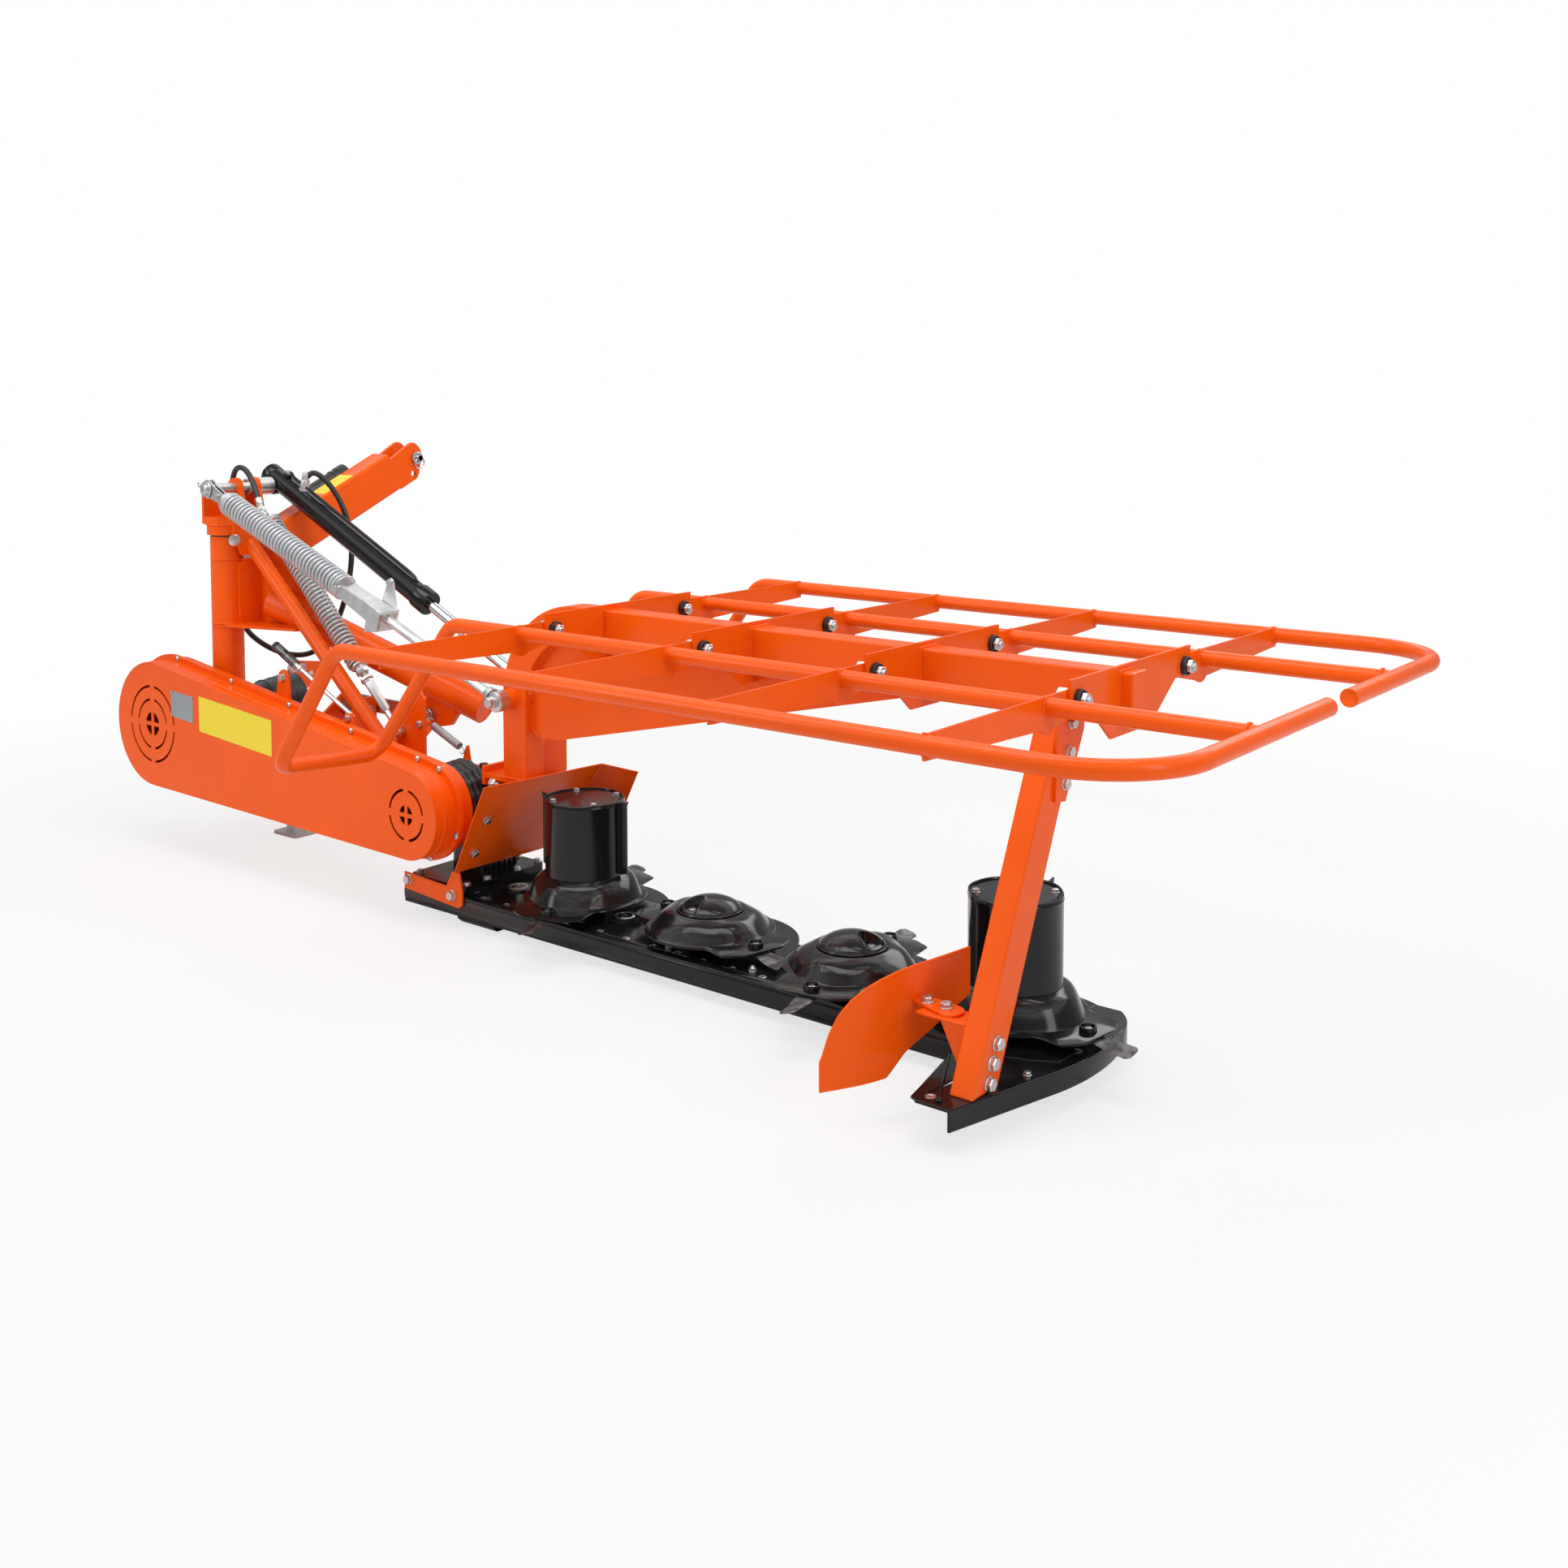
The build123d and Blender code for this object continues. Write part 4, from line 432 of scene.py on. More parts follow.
def mix_finishes():
    """A material for each slot, and for what this file adds: plate, sheets and painted tube shade.
    """
    own = looks()
    FINISHES.update(
        orange=material("frame_enamel", enamel, own.orange, 0.26, 0.08, 0.15),
        black=material("bar_enamel", enamel, own.black, 0.14, 0.2, 0.24),
        zinc=material("zinc_plate", plated, (0.62, 0.63, 0.645), 0.33, (1.03, 1.0, 0.95)),
        spring_steel=material("spring_wire", plated, (0.5, 0.515, 0.53), 0.42, (1, 1, 1), 0.6),
        chrome=material("ground_chrome", chrome),
        blade_steel=material("hardened_steel", blade_steel),
        rubber=material("black_rubber", moulded, (0.013, 0.013, 0.014), 0.42, 620.0, 0.0008),
        plastic=material("black_plastic", moulded, (0.017, 0.017, 0.018), 0.36, 900.0, 0.0004),
        bush=material("friction_bronze", bronze),
        silver_plate=material("bare_plate", brushed_sheet, (0.4, 0.42, 0.44), 0.9, 0.34),
        blank_sheet=material("blank_sheet", brushed_sheet, own.sheet, 0.0, 0.3),
        # near-black and matt: painted shade for the inside of open tube ends
        bore=material("dark_bore", moulded, (0.004, 0.004, 0.004), 0.7, 300.0, 0.0005),
    )


# Meshes


class Shape:
    """A mesh in the making, from points in millimetres on the machine's drawing."""

    def __init__(self):
        self.mesh = bmesh.new()

    def skin(self, rings, closed=False):
        """Faces between rings of equal count, with flat ends unless the skin closes on itself."""
        made = [[self.mesh.verts.new(metres(point)) for point in points] for points in rings]
        pairs = list(zip(made, made[1:])) + ([(made[-1], made[0])] if closed else [])
        for low, high in pairs:
            for index, vertex in enumerate(low):
                self.mesh.faces.new((low[index - 1], vertex, high[index], high[index - 1]))
        if not closed:
            self.mesh.faces.new(list(reversed(made[0])))
            self.mesh.faces.new(made[-1])

    def lathe(self, origin, axis, profile, sides=32):
        """A turned piece: the profile is (distance along the axis, radius) pairs."""
        origin, along = Vector(origin), Vector(axis).normalized()
        across = along.orthogonal().normalized()
        up = along.cross(across)
        self.skin([arc(origin + along * distance, across, up, radius, steps=sides)
                   for distance, radius in profile])

    def tube(self, points, radii, sides=8, closed=False):
        """A round bar along points; radii is one radius, or one to each point."""
        points = [Vector(point) for point in points]
        count = len(points)
        if not hasattr(radii, "__len__"):
            radii = [radii] * count
        across = None
        rings = []
        for index, point in enumerate(points):
            after = points[(index + 1) % count] if closed else points[min(index + 1, count - 1)]
            before = points[index - 1] if closed or index else point
            along = (after - before).normalized()
            if across is None:
                across = along.orthogonal()
            across = (across - along * across.dot(along)).normalized()
            rings.append(arc(point, across, along.cross(across), radii[index], steps=sides))
        self.skin(rings, closed)

    def coil(self, start, end, radius, wire, turns, steps=18, sides=8):
        """A helical spring on the line from start to end, its end turns closed up."""
        axis = end - start
        along = axis.normalized()
        across = along.orthogonal().normalized()
        up = along.cross(across)
        length = axis.length - wire
        points = []
        for step in range(turns * steps + 1):
            turn = step / steps
            squeezed = 0.6 * (min(turn, 1.0) + max(turn - (turns - 1), 0.0))
            rise = wire / 2 + (turn - squeezed) * length / (turns - 1.2)
            t = TURN * turn
            points.append(start + along * rise
                          + (across * cos(t) + up * sin(t)) * (radius - wire / 2))
        self.tube(points, wire / 2, sides)

    def prism(self, outline, origin, across, up, thickness):
        """A flat plate: its outline lies across and up, and it thickens along their cross."""
        origin, across, up = Vector(origin), Vector(across).normalized(), Vector(up).normalized()
        depth = across.cross(up) * thickness
        low = [origin + across * x + up * y for x, y in outline]
        self.skin([low, [point + depth for point in low]])

    def hexagon(self, origin, axis, flats, height):
        """A chamfered hexagonal head or nut."""
        radius = flats / sqrt(3)
        self.lathe(origin, axis, ((0, radius), (height * 0.82, radius), (height, radius * 0.88)), 6)

    def bolt(self, point, axis, size=12, washer=True, stub=0):
        """A hexagon bolt head on its washer, or with a stub a nut on a thread's end."""
        axis = Vector(axis).normalized()
        seat = Vector(point)
        rim, height, pitch = size * 0.18, size * 0.68, 1.6
        if washer:
            self.lathe(seat, axis, ((0, size * 1.05), (rim * 0.8, size * 1.05), (rim, size)), 28)
            seat = seat + axis * rim
        self.hexagon(seat, axis, size * 1.62, height)
        if stub:
            thread = []
            for turn in range(max(2, round(stub / pitch))):
                thread += [(turn * pitch, size * 0.5), ((turn + 0.5) * pitch, size * 0.44)]
            self.lathe(seat + axis * height, axis, thread, 16)

    def bolts(self, axis, size, *points, **kind):
        """Like bolts at several points."""
        for point in points:
            self.bolt(point, axis, size, **kind)

    def cap_screw(self, point, axis, size=8):
        """A button-head screw with its key hole."""
        head, rim, crown = size * 0.95, size * 0.25, size * 0.55
        self.lathe(point, axis, ((0, head), (rim, head), (size * 0.48, head * 0.72),
                                 (crown, head * 0.5), (crown, head * 0.42), (rim, head * 0.4)), 20)

    def weld(self, points, radius, closed=False):
        """A hand-laid bead along a line: even ripples with a little wander."""
        points = [Vector(point) for point in points]
        if closed:
            points.append(points[0])
        beads, radii = [], []
        for start, end in zip(points, points[1:]):
            pieces = max(1, round((end - start).length / (radius * 0.8)))
            for piece in range(pieces):
                count = len(beads)
                beads.append(start + (end - start) * (piece / pieces))
                radii.append(radius * (1 + 0.13 * sin(count * 2.1) + 0.06 * sin(count * 0.71)))
        self.tube(beads, radii, closed=closed)

    def stand(self, place, heading):
        """Move what was made about the first disc's axis to a place in X, turned by degrees."""
        verts = self.mesh.verts
        bmesh.ops.translate(self.mesh, verts=verts, vec=X * place * MM)
        bmesh.ops.rotate(self.mesh, verts=verts, cent=metres((place, 0, 0)),
                         matrix=Matrix.Rotation(radians(heading), 3, "Z"))

    def put(self, name, body, finish, replaces=(), smooth=38, edge=0):
        """Close the mesh as a piece of the machine that rides on a body."""
        bmesh.ops.recalc_face_normals(self.mesh, faces=self.mesh.faces)
        data = bpy.data.meshes.new(name)
        self.mesh.to_mesh(data)
        self.mesh.free()
        data.polygons.foreach_set("use_smooth", [True] * len(data.polygons))
        data.set_sharp_from_angle(angle=radians(smooth))
        piece = add_object(name, data)
        data.materials.append(FINISHES[finish])
        if edge:
            round_edges(piece, edge * MM)
        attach(piece, body)
        if replaces:
            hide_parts(*replaces)
        return piece


def add_object(name, data):
    """An object for a mesh, curve, lamp or lens, linked into the scene."""
    made = bpy.data.objects.new(name, data)
    bpy.context.scene.collection.objects.link(made)
    return made


def round_edges(piece, width):
    """Small rounding on edges."""
    bevel = piece.modifiers.new("edges", "BEVEL")
    bevel.width = width
    bevel.segments = 2
    bevel.limit_method = "ANGLE"
    bevel.angle_limit = radians(40)


# Pieces


def paint_frame():
    """Finish on the pieces carried over from the frame, and rounding on their edges."""
    slots = {row["node"]: row["material_slot"] for row in frame["record"]["subparts"]}
    for name, node in frame["nodes"].items():
        node.data.materials.clear()
        node.data.materials.append(FINISHES[slots[name]])
        if name in ROUNDED:
            join = node.modifiers.new("join", "WELD")
            join.merge_threshold = 0.00002
            flat = node.modifiers.new("flatten", "DECIMATE")
            flat.decimate_type = "DISSOLVE"
            flat.angle_limit = radians(0.6)
            round_edges(node, looks().edge * ROUNDED[name])


def lay_hose():
    """The supply hose with its quick coupler, hung from the cylinder's head."""
    line = bpy.data.curves.new("supply_hose_line", "CURVE")
    line.dimensions = "3D"
    line.bevel_depth = 8 * MM
    line.bevel_resolution = 5
    line.resolution_u = 16
    line.use_fill_caps = True
    spline = line.splines.new("NURBS")
    spline.points.add(len(HOSE_POINTS) - 1)
    for knot, point in zip(spline.points, HOSE_POINTS):
        knot.co = (*metres(point), 1)
    spline.order_u = 3
    spline.use_endpoint_u = True
    hose = add_object("hose", line)
    line.materials.append(FINISHES["rubber"])
    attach(hose, "lift_barrel")
    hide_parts("supply_hose")

    start = Vector(HOSE_POINTS[-1])
    axis = COUPLER_END - start
    shape = Shape()
    shape.lathe(between(start, COUPLER_END, -4), axis,
                ((0, 9.4), (2, 10.6), (20, 10.6), (22, 9.6), (24, 10.6), (30, 9)))
    shape.hexagon(between(start, COUPLER_END, 26), axis, 21, 15)
    grip = [(15 + 3 * k, 14.6 if k % 2 else 13.8) for k in range(6)]
    shape.lathe(between(start, COUPLER_END, 40), axis, (
        (0, 9), (6, 9), (8, 13.5), (12, 14.6), *grip, (46, 14.6), (48, 12.4), (60, 12.4),
        (62, 14), (78, 14), (81.5, 12), (81.5, 8), (70, 7.5)), 40)
    coupler = shape.put("quick_coupler", "lift_barrel", "zinc", ("hose_coupler",))
    metres(HOSE_POINTS[0])


def wind_float_spring():
    """The float spring between its shackle on the cross pin and its seat."""
    own = looks()
    along, over = link_axes(FLOAT_PIN, FLOAT_EYE)
    coil = Shape()
    coil.coil(FLOAT_PIN + along * 100, FLOAT_PIN + along * 646, 35, own.float_wire / MM,
              own.float_turns)
    coil.put("float_coil", "float_upper", "spring_steel", ("float_spring",), smooth=180)

    shackle = Shape()
    for side in (-9, 5):
        cheek = FLOAT_PIN + Y * side
        shackle.lathe(cheek, Y, ((0, 15.2), (0, 26), (1, 27), (3, 27), (4, 26), (4, 15.2)), 36)
        shackle.prism(((16, -20), (84, -14), (84, 14), (16, 20)), cheek + Y * 4, along, over, 4)
    shackle.lathe(FLOAT_PIN + along * 84, along, ((0, 14), (2, 27), (10, 30), (18, 30), (20, 26)),
                  36)
    shackle.bolt(FLOAT_PIN + Vector((52, -9, -20)), -Y, 9)
    shackle.put("float_spring_shackle", "float_upper", "zinc")

    seat = Shape()
    seat.lathe(FLOAT_PIN + along * 628, along, ((0, 25), (16, 25), (18, 34), (22, 35), (24, 33)),
               36)
    seat.put("float_spring_seat", "float_upper", "zinc")


def wind_brace_spring():
    """The long brace spring, hooked on the cross pin, with its threaded adjuster."""
    own = looks()
    top, low, anchor = BRACE_SPRING_TOP, BRACE_SPRING_LOW, BRACE_SPRING_ANCHOR
    coil = Shape()
    coil.coil(top, low, 29, own.brace_wire / MM, own.brace_turns)
    hook = arc((CROSS_PIN_X, 22, CROSS_PIN_Z), Vector((-0.70, 0, -0.714)),
               Vector((0.714, 0, -0.70)), 20, -140, 290)
    lead = [hook[-1], between(hook[-1], top, 40), between(top, low, -16), between(top, low, 6)]
    coil.tube(hook[:-1] + lead, 4.6, 10)
    coil.put("brace_coil", "swing_frame", "spring_steel", ("brace_spring",), smooth=180)

    axis = anchor - low
    thread = []
    for turn in range(16):
        thread += [(6 + turn * 3.4, 9.6), (7.7 + turn * 3.4, 8.2)]
    rod = Shape()
    for distance, profile, sides in (
            (-26, ((0, 16), (4, 20), (24, 21), (26, 24), (30, 24), (33, 17), (44, 12)), 32),
            (0, thread, 24), (55, ((0, 15), (3, 15), (8, 13)), 6),
            (60, ((0, 13.5), (96, 12.5), (104, 8)), 6),
            (160, ((0, 8), (axis.length - 172, 8)), 20)):
        rod.lathe(between(low, anchor, distance), axis, profile, sides)
    rod.hexagon(between(low, anchor, 14), axis, 32, 15)
    rod.hexagon(between(low, anchor, 44), axis, 33, 10)
    eye = (anchor.x, 27, anchor.z)
    rod.lathe(eye, Y, ((0, 6), (0, 14), (1, 15), (15, 15), (16, 14), (16, 6)), 28)
    rod.bolt(eye, -Y, 11)
    rod.put("brace_adjuster", "swing_frame", "zinc", ("brace_spring_rod",))


def wind_return_spring():
    """The small return spring, a hook at each end, and the lug that holds it."""
    start, end = Vector((-655, 85, 422)), Vector((-550, 85, 380))
    coil = Shape()
    coil.coil(start, end, 11, 2.4, 42, 14, 6)
    for turn, eye, way in ((start, (-664, 85, 432), 1), (end, (-541, 85, 370), -1)):
        hook = arc(eye, Vector((1, 0, -0.4)) * way, Vector((0.4, 0, 1)) * way, 8, -60, -250, 16)
        coil.tube([turn + Vector((2, 0, -1)) * way, turn + Vector((-3, 0, 2)) * way] + hook, 1.5)
    coil.put("return_coil", "swing_frame", "spring_steel", ("return_spring",), smooth=180)
    lug = Shape()
    lug.prism(((-552, 328), (-533, 382), (-524, 386), (-512, 328)), (0, 96, 0), X, Z, 5)
    lug.put("return_spring_lug", "swing_frame", "orange", edge=1)


def rim_radius(angle):
    """The disc's edge: a circle with a broad nose at each end of its long axis."""
    along, aside = abs(cos(angle)), abs(sin(angle))
    corner = (NOSE_REACH + NOSE_HALF_WIDTH * NOSE_SLOPE) / (along + aside * NOSE_SLOPE)
    limit = min(NOSE_REACH / max(along, 0.2), corner)
    if aside > 0.36:
        limit = min(limit, NOSE_FLANK / aside)
    share = min(1.0, max(0.0, (along - 0.66) / 0.16))
    share = share * share * (3 - 2 * share)
    return DISC_RADIUS + (max(limit, DISC_RADIUS) - DISC_RADIUS) * share


def press_disc(drum):
    """A pressed cutting disc: rim with two noses, cups for the blade screws, shoulders, neck."""
    turns = angles(120)
    neck, top = (98, 166) if drum else (82, 151)
    rims = [rim_radius(t) for t in turns]
    feet = [141 + 5 * cos(4 * t) + 4 * cos(2 * t) for t in turns]
    lifts = [3.0 * cos(2 * t) + 2.2 * cos(6 * t + 0.6) for t in turns]
    rings = []

    def ring(radii, heights):
        rings.append([(r * cos(t), r * sin(t), h) for t, r, h in zip(turns, radii, heights)])

    def level_ring(radii, height):
        ring(radii, [height] * len(turns))

    level_ring([r * 0.4 for r in rims], 104.6)
    for inset, height in ((3, 104.6), (0.5, 105.4), (0, 107), (0.6, 109), (2.4, 110)):
        level_ring([r - inset for r in rims], height)
    level_ring([max(f + 1, r - 8 - (r - DISC_RADIUS) * 0.55) for f, r in zip(feet, rims)], 111.5)
    # share of the way from the neck to the body's foot, and of the rise
    for share, rise in ((1.0, 0.0), (0.97, 0.04), (0.9, 0.16), (0.78, 0.38), (0.62, 0.62),
                        (0.46, 0.78), (0.3, 0.88), (0.14, 0.95), (0.04, 0.99), (0.0, 1.0)):
        bulge = sin(pi * share) ** 2
        ring([neck + (f - neck) * share for f in feet],
             [112 + (top - 112) * rise + bulge * lift for lift in lifts])
    if not drum:
        for radius, height in ((78, 150.2), (74.5, 149.2), (73, 150.5), (72, 153)):
            level_ring([radius] * len(turns), height)
    level_ring([60] * len(turns), top - 2 if drum else 158)
    shape = Shape()
    shape.skin(rings)
    for heading in (0, 180):
        shape.lathe(spoke(0, BLADE_BOLT_RADIUS, heading, 109.5), Z,
                    ((0, 17.5), (11, 17), (12.5, 15.8), (12.5, 13.6), (4, 13), (3.8, 2)))
    return shape


def add_drum(shape):
    """A drum's shell on its disc, with a sunk lid and two driving fins."""
    turns = angles(128)
    rings = []
    for height, grow in ((160, 3), (165, 0.5), (168, 0), (334, 0), (337, 1.2), (339, 1.2), (341, 0),
                         (346, 0), (347, -1), (347, -3), (345.5, -4), (341.5, -4.5)):
        radii = [DRUM_RADIUS + grow + 1.3 * cos(4 * t) - 0.6 * cos(8 * t) for t in turns]
        rings.append([(r * cos(t), r * sin(t), height) for t, r in zip(turns, radii)])
    rings += [arc((0, 0, height), X, Y, radius, steps=len(turns))
              for radius, height in ((86, 341.2), (84, 343.4), (40, 343.4))]
    shape.skin(rings)
    fin = ((88, 168), (117, 172), (117, 336), (121, 348), (106, 343), (88, 338))
    for side in (-1, 1):
        # folded out of the shell, with an ear at its top
        shape.prism([(side * y, z) for y, z in fin], (side * 2 - 2.5, 0, 0), Y, Z, 5)
        shape.tube([(side * 3, side * 94, 170), (side * 3, side * 94, 336)], 5, 10)


def cap_height(x, y):
    """A plain disc's cap: a low dome, cut away towards +X so that its bolt stands open."""
    share = min(1.0, hypot(x, y) / CAP_RADIUS)
    height = 152.5 + 28 * (1 - share ** 2.2) ** 0.75
    past = x - 17 - (y / 27) ** 2 * 34
    if share < 0.95 and past > 0:
        height = 151 + (height - 151) * max(0.0, 1 - past / 4.5)
    elif share < 0.95 and past > -8:
        height += (past + 8) * 0.45
    return height


def add_cap(shape, facing):
    """A domed cap on its disc, its opening at an angle in radians, and the bead round it."""
    rings = []
    for k in range(41):
        radius = CAP_RADIUS * (1 - k / 41.5)
        rings.append([(radius * cos(t + facing), radius * sin(t + facing),
                       cap_height(radius * cos(t), radius * sin(t))) for t in angles(120)])
    shape.skin(rings)
    shape.tube(arc((0, 0, 152.2), X, Y, 74.5, steps=90), 1.9, closed=True)


def screw_disc(place, heading, opening):
    """The screws of one disc: through its blades, and in its drum's lid or its cap's opening."""
    screws = Shape()
    for side in (0, 180):
        screws.cap_screw(spoke(place, BLADE_BOLT_RADIUS, heading + side, 113.5), Z, 10)
        screws.lathe(spoke(place, BLADE_BOLT_RADIUS, heading + side, 101), -Z,
                     ((0, 12), (5, 12), (7, 10)), 24)
    if opening is None:
        for side in (45, 135, 225, 315):
            screws.bolt(spoke(place, LID_BOLT_RADIUS, heading + side, 343.2), Z, 8)
    else:
        screws.bolt(spoke(place, CAP_BOLT_RADIUS, opening, 151), Z, 10)
    return screws


def forge_knives():
    """The two blades of a disc, flat under it and twisted outside it."""
    knives = Shape()
    section = ((-1, -0.4), (-0.72, -2), (0.72, -2), (1, -0.4), (0.72, 2), (-0.72, 2))
    for way in (1, -1):
        rings = []
        for x, half, twist, drop in ((156, 17, 0, 0), (160, 21, 0, 0), (206, 22, 0, 0),
                                     (222, 22, 5, 1), (240, 22, 12, 3), (276, 21, 15, 4),
                                     (283, 15, 15, 4)):
            c, s = cos(radians(twist)), sin(radians(twist))
            rings.append([(way * x, way * (half * w * c - h * s), 101 - drop + half * w * s + h * c)
                          for w, h in section])
        knives.skin(rings)
    return knives


def spin_discs():
    """The four cutting discs, each with its screws and its two blades."""
    for body, node, blades, place, heading, opening in DISCS:
        disc = press_disc(opening is None)
        if opening is None:
            add_drum(disc)
        else:
            add_cap(disc, radians(opening - heading))
        disc.stand(place, heading)
        disc.put("pressed_disc_" + node[-1], body, "black", (node,), smooth=32)
        screw_disc(place, heading, opening).put("disc_screws_" + node[-1], body, "zinc")
        knives = forge_knives()
        knives.stand(place, heading)
        knives.put("knives_" + node[-1], body, "blade_steel", (blades,), smooth=20)


def fit_cutter_bar():
    """The roll along the bar's front, its rivets with painted shade in their holes, and the covers
    of its hubs.
    """
    section = [(copysign(18.5 * abs(cos(t)) ** 0.7, cos(t)),
                copysign(26.4 * abs(sin(t)) ** 0.7, sin(t))) for t in angles(40)]
    roll = Shape()
    roll.skin([[(x, ROLL_Y + y * share, ROLL_Z + z * share) for y, z in section]
               for x, share in ((-511.5, 0.9), (-509, 1), (1240, 1), (1242, 0.9))])
    roll.put("bar_roll", "cutter_frame", "black", smooth=60)

    # black discs in the rivets' holes are painted shade; the hub covers inside their zinc rings are
    # black
    rivets, bores = Shape(), Shape()
    for row, places in ((-108, REAR_RIVETS), (108, FRONT_RIVETS), (-84, (-300, 70, 1120))):
        for x in places:
            rivets.lathe((x, row, BAR_TOP), Z,
                         ((0, 9.2), (0.9, 9.2), (1.3, 8.4), (1.3, 5), (0.7, 4.6)), 26)
            bores.lathe((x, row, BAR_TOP), Z, ((0, 4.2), (1, 4.2)), 20)
    rivets.bolts(Z, 9, (356, -92, 76), (600, -92, 76), stub=5)
    for x in (-238, 132):
        hub = (x, 0, COVER_TOP)
        rivets.lathe(hub, Z, ((0, 26), (1.4, 26), (2.2, 25), (2.2, 18), (0.9, 17.4)), 44)
        bores.lathe(hub, Z, ((0, 17.6), (1.6, 17), (1.8, 12), (1.4, 8)), 36)
        rivets.lathe(hub, Z, ((0, 6.5), (2.2, 6.5), (2.8, 5.6)), 24)
        for t in angles(4, 0.4):
            rivets.cap_screw((x + 20.5 * cos(t), 20.5 * sin(t), COVER_TOP + 1.8), Z, 3.5)
    rivets.put("bar_rivets", "cutter_frame", "zinc")
    bores.put("bar_rivet_bores", "cutter_frame", "black")


def fit_gearbox():
    """The screws round the gearbox, the ribs on its housing and the cover of its bearing."""
    screws = Shape()
    screws.bolts(Z, 10, *((x, y, GEARBOX_TOP) for x, y in (
        (-304, -43), (-304, 57), (-316, 141), (-304, -110), (-480, -110), (-480, 10), (-480, 130),
        (-390, 141))))
    screws.bolts(-Y, 13, (-488, -142, 87), (-323, -142, 77))
    screws.bolts(-Y, 11, (-352, -12, 320), (-352, 78, 320))
    screws.put("gearbox_screws", "cutter_frame", "zinc")

    ribs = Shape()
    for y in (-1, 17, 35, 53, 71, 87):
        ribs.prism(((-474, 100), (-336, 100), (-336, 205), (-344, 214), (-466, 214), (-474, 205)),
                   (0, y, 0), X, Z, 5)
    ribs.lathe((FOLD_X, 96, FOLD_Z), Y, ((0, 50), (4, 50), (6, 46), (6, 30), (4, 28)), 40)
    ribs.bolts(Y, 7, *arc((FOLD_X, 99, FOLD_Z), X, Z, 41, steps=6))
    ribs.lathe((-405, 40, 340), Z, ((0, 16), (8, 16), (10, 12), (22, 12), (24, 10)), 24)
    ribs.put("gearbox_ribs", "cutter_frame", "black", edge=1)


def fit_guards():
    """Hinge bolts, weld rings and open tube ends with painted shade on the two guard halves."""
    heads, spacers = Shape(), Shape()
    for x in BRACKETS_X:
        for y in (-HINGE_Y, HINGE_Y):
            heads.lathe((x - 16, y, HINGE_Z), -X, ((0, 18.5), (2.4, 18.5), (3, 17.5)))
            heads.hexagon((x - 19, y, HINGE_Z), -X, 33, 18)
            spacers.lathe((x + 3, y, HINGE_Z), X, ((0, 19), (8.5, 19), (10, 17.5), (10, 6)))
            heads.bolt((x + 13, y, HINGE_Z), X, 15, washer=False, stub=7)
    heads.put("hinge_bolts", "cutter_frame", "zinc")
    spacers.put("hinge_spacers", "cutter_frame", "rubber")

    bead = looks().weld / MM
    for body, side, end_y in (("rear_guard", -1, -20), ("front_guard", 1, 84)):
        inward, half = Y * -side, body.split("_")[0]
        welds = Shape()
        for x in BRACKETS_X:
            for reach, start, sweep in ((INNER_TUBE_Y, 0, 360), (OUTER_TUBE_Y, -90, 180)):
                for edge in (x - 9.5, x - 3.5):
                    ring = arc((edge, side * reach, GUARD_TUBE_Z), inward, Z,
                               GUARD_TUBE_RADIUS + 0.4, start, sweep, 36)
                    welds.weld(ring, bead * 0.9, closed=sweep == 360)
        ring = arc((GUARD_TUBE_END - 19, side * INNER_TUBE_Y, GUARD_TUBE_Z), Y, Z,
                   GUARD_TUBE_RADIUS + 0.6, steps=36)
        welds.weld(ring, bead, closed=True)
        welds.put(f"guard_welds_{half}", body, "orange", smooth=180)
        mouth = (GUARD_TUBE_END, end_y, GUARD_TUBE_Z)
        # a near-black disc 3 mm inside each mouth is painted shade of the open tube's inside
        bore, lip = Shape(), Shape()
        bore.lathe(mouth, inward, ((-3, 14.6), (0.25, 14.6), (0.25, 3)), 36)
        bore.put(f"tube_bore_{half}", body, "bore")
        lip.lathe(mouth, inward,
                  ((0, 14.4), (0, 17.2), (1.1, 16.9), (1.5, 16), (1.1, 14.8), (0.3, 14.4)), 36)
        lip.put(f"tube_lip_{half}", body, "orange", smooth=180)


def hull_walk(grow, count, start=0.0):
    """Points (x, z) spaced evenly round the belt guard's outline, grown by an amount."""
    big_centre, small_centre = Vector(BIG_END[:2]), Vector(SMALL_END[:2])
    big, small = BIG_END[2] + grow, SMALL_END[2] + grow
    apart = small_centre - big_centre
    straight = sqrt(apart.length_squared - (big - small) ** 2)
    lean = atan2(apart.y, apart.x)
    spread = pi / 2 - atan2(big - small, straight)
    top, low = lean + spread, lean - spread

    def on_big(t):
        return big_centre + Vector((cos(t), sin(t))) * big

    def on_small(t):
        return small_centre + Vector((cos(t), sin(t))) * small

    # from the big end's top: straight over, round the small end, straight under, round the big end
    legs = (
        (straight, lambda way: on_big(top).lerp(on_small(top), way / straight)),
        (small * 2 * spread, lambda way: on_small(top - way / small)),
        (straight, lambda way: on_small(low).lerp(on_big(low), way / straight)),
        (big * (TURN - 2 * spread), lambda way: on_big(low - way / big)),
    )
    total = sum(length for length, _ in legs)
    points = []
    for k in range(count):
        way = (start + total * k / count) % total
        for length, place in legs:
            if way < length:
                points.append(tuple(place(way)))
                break
            way -= length
    return points


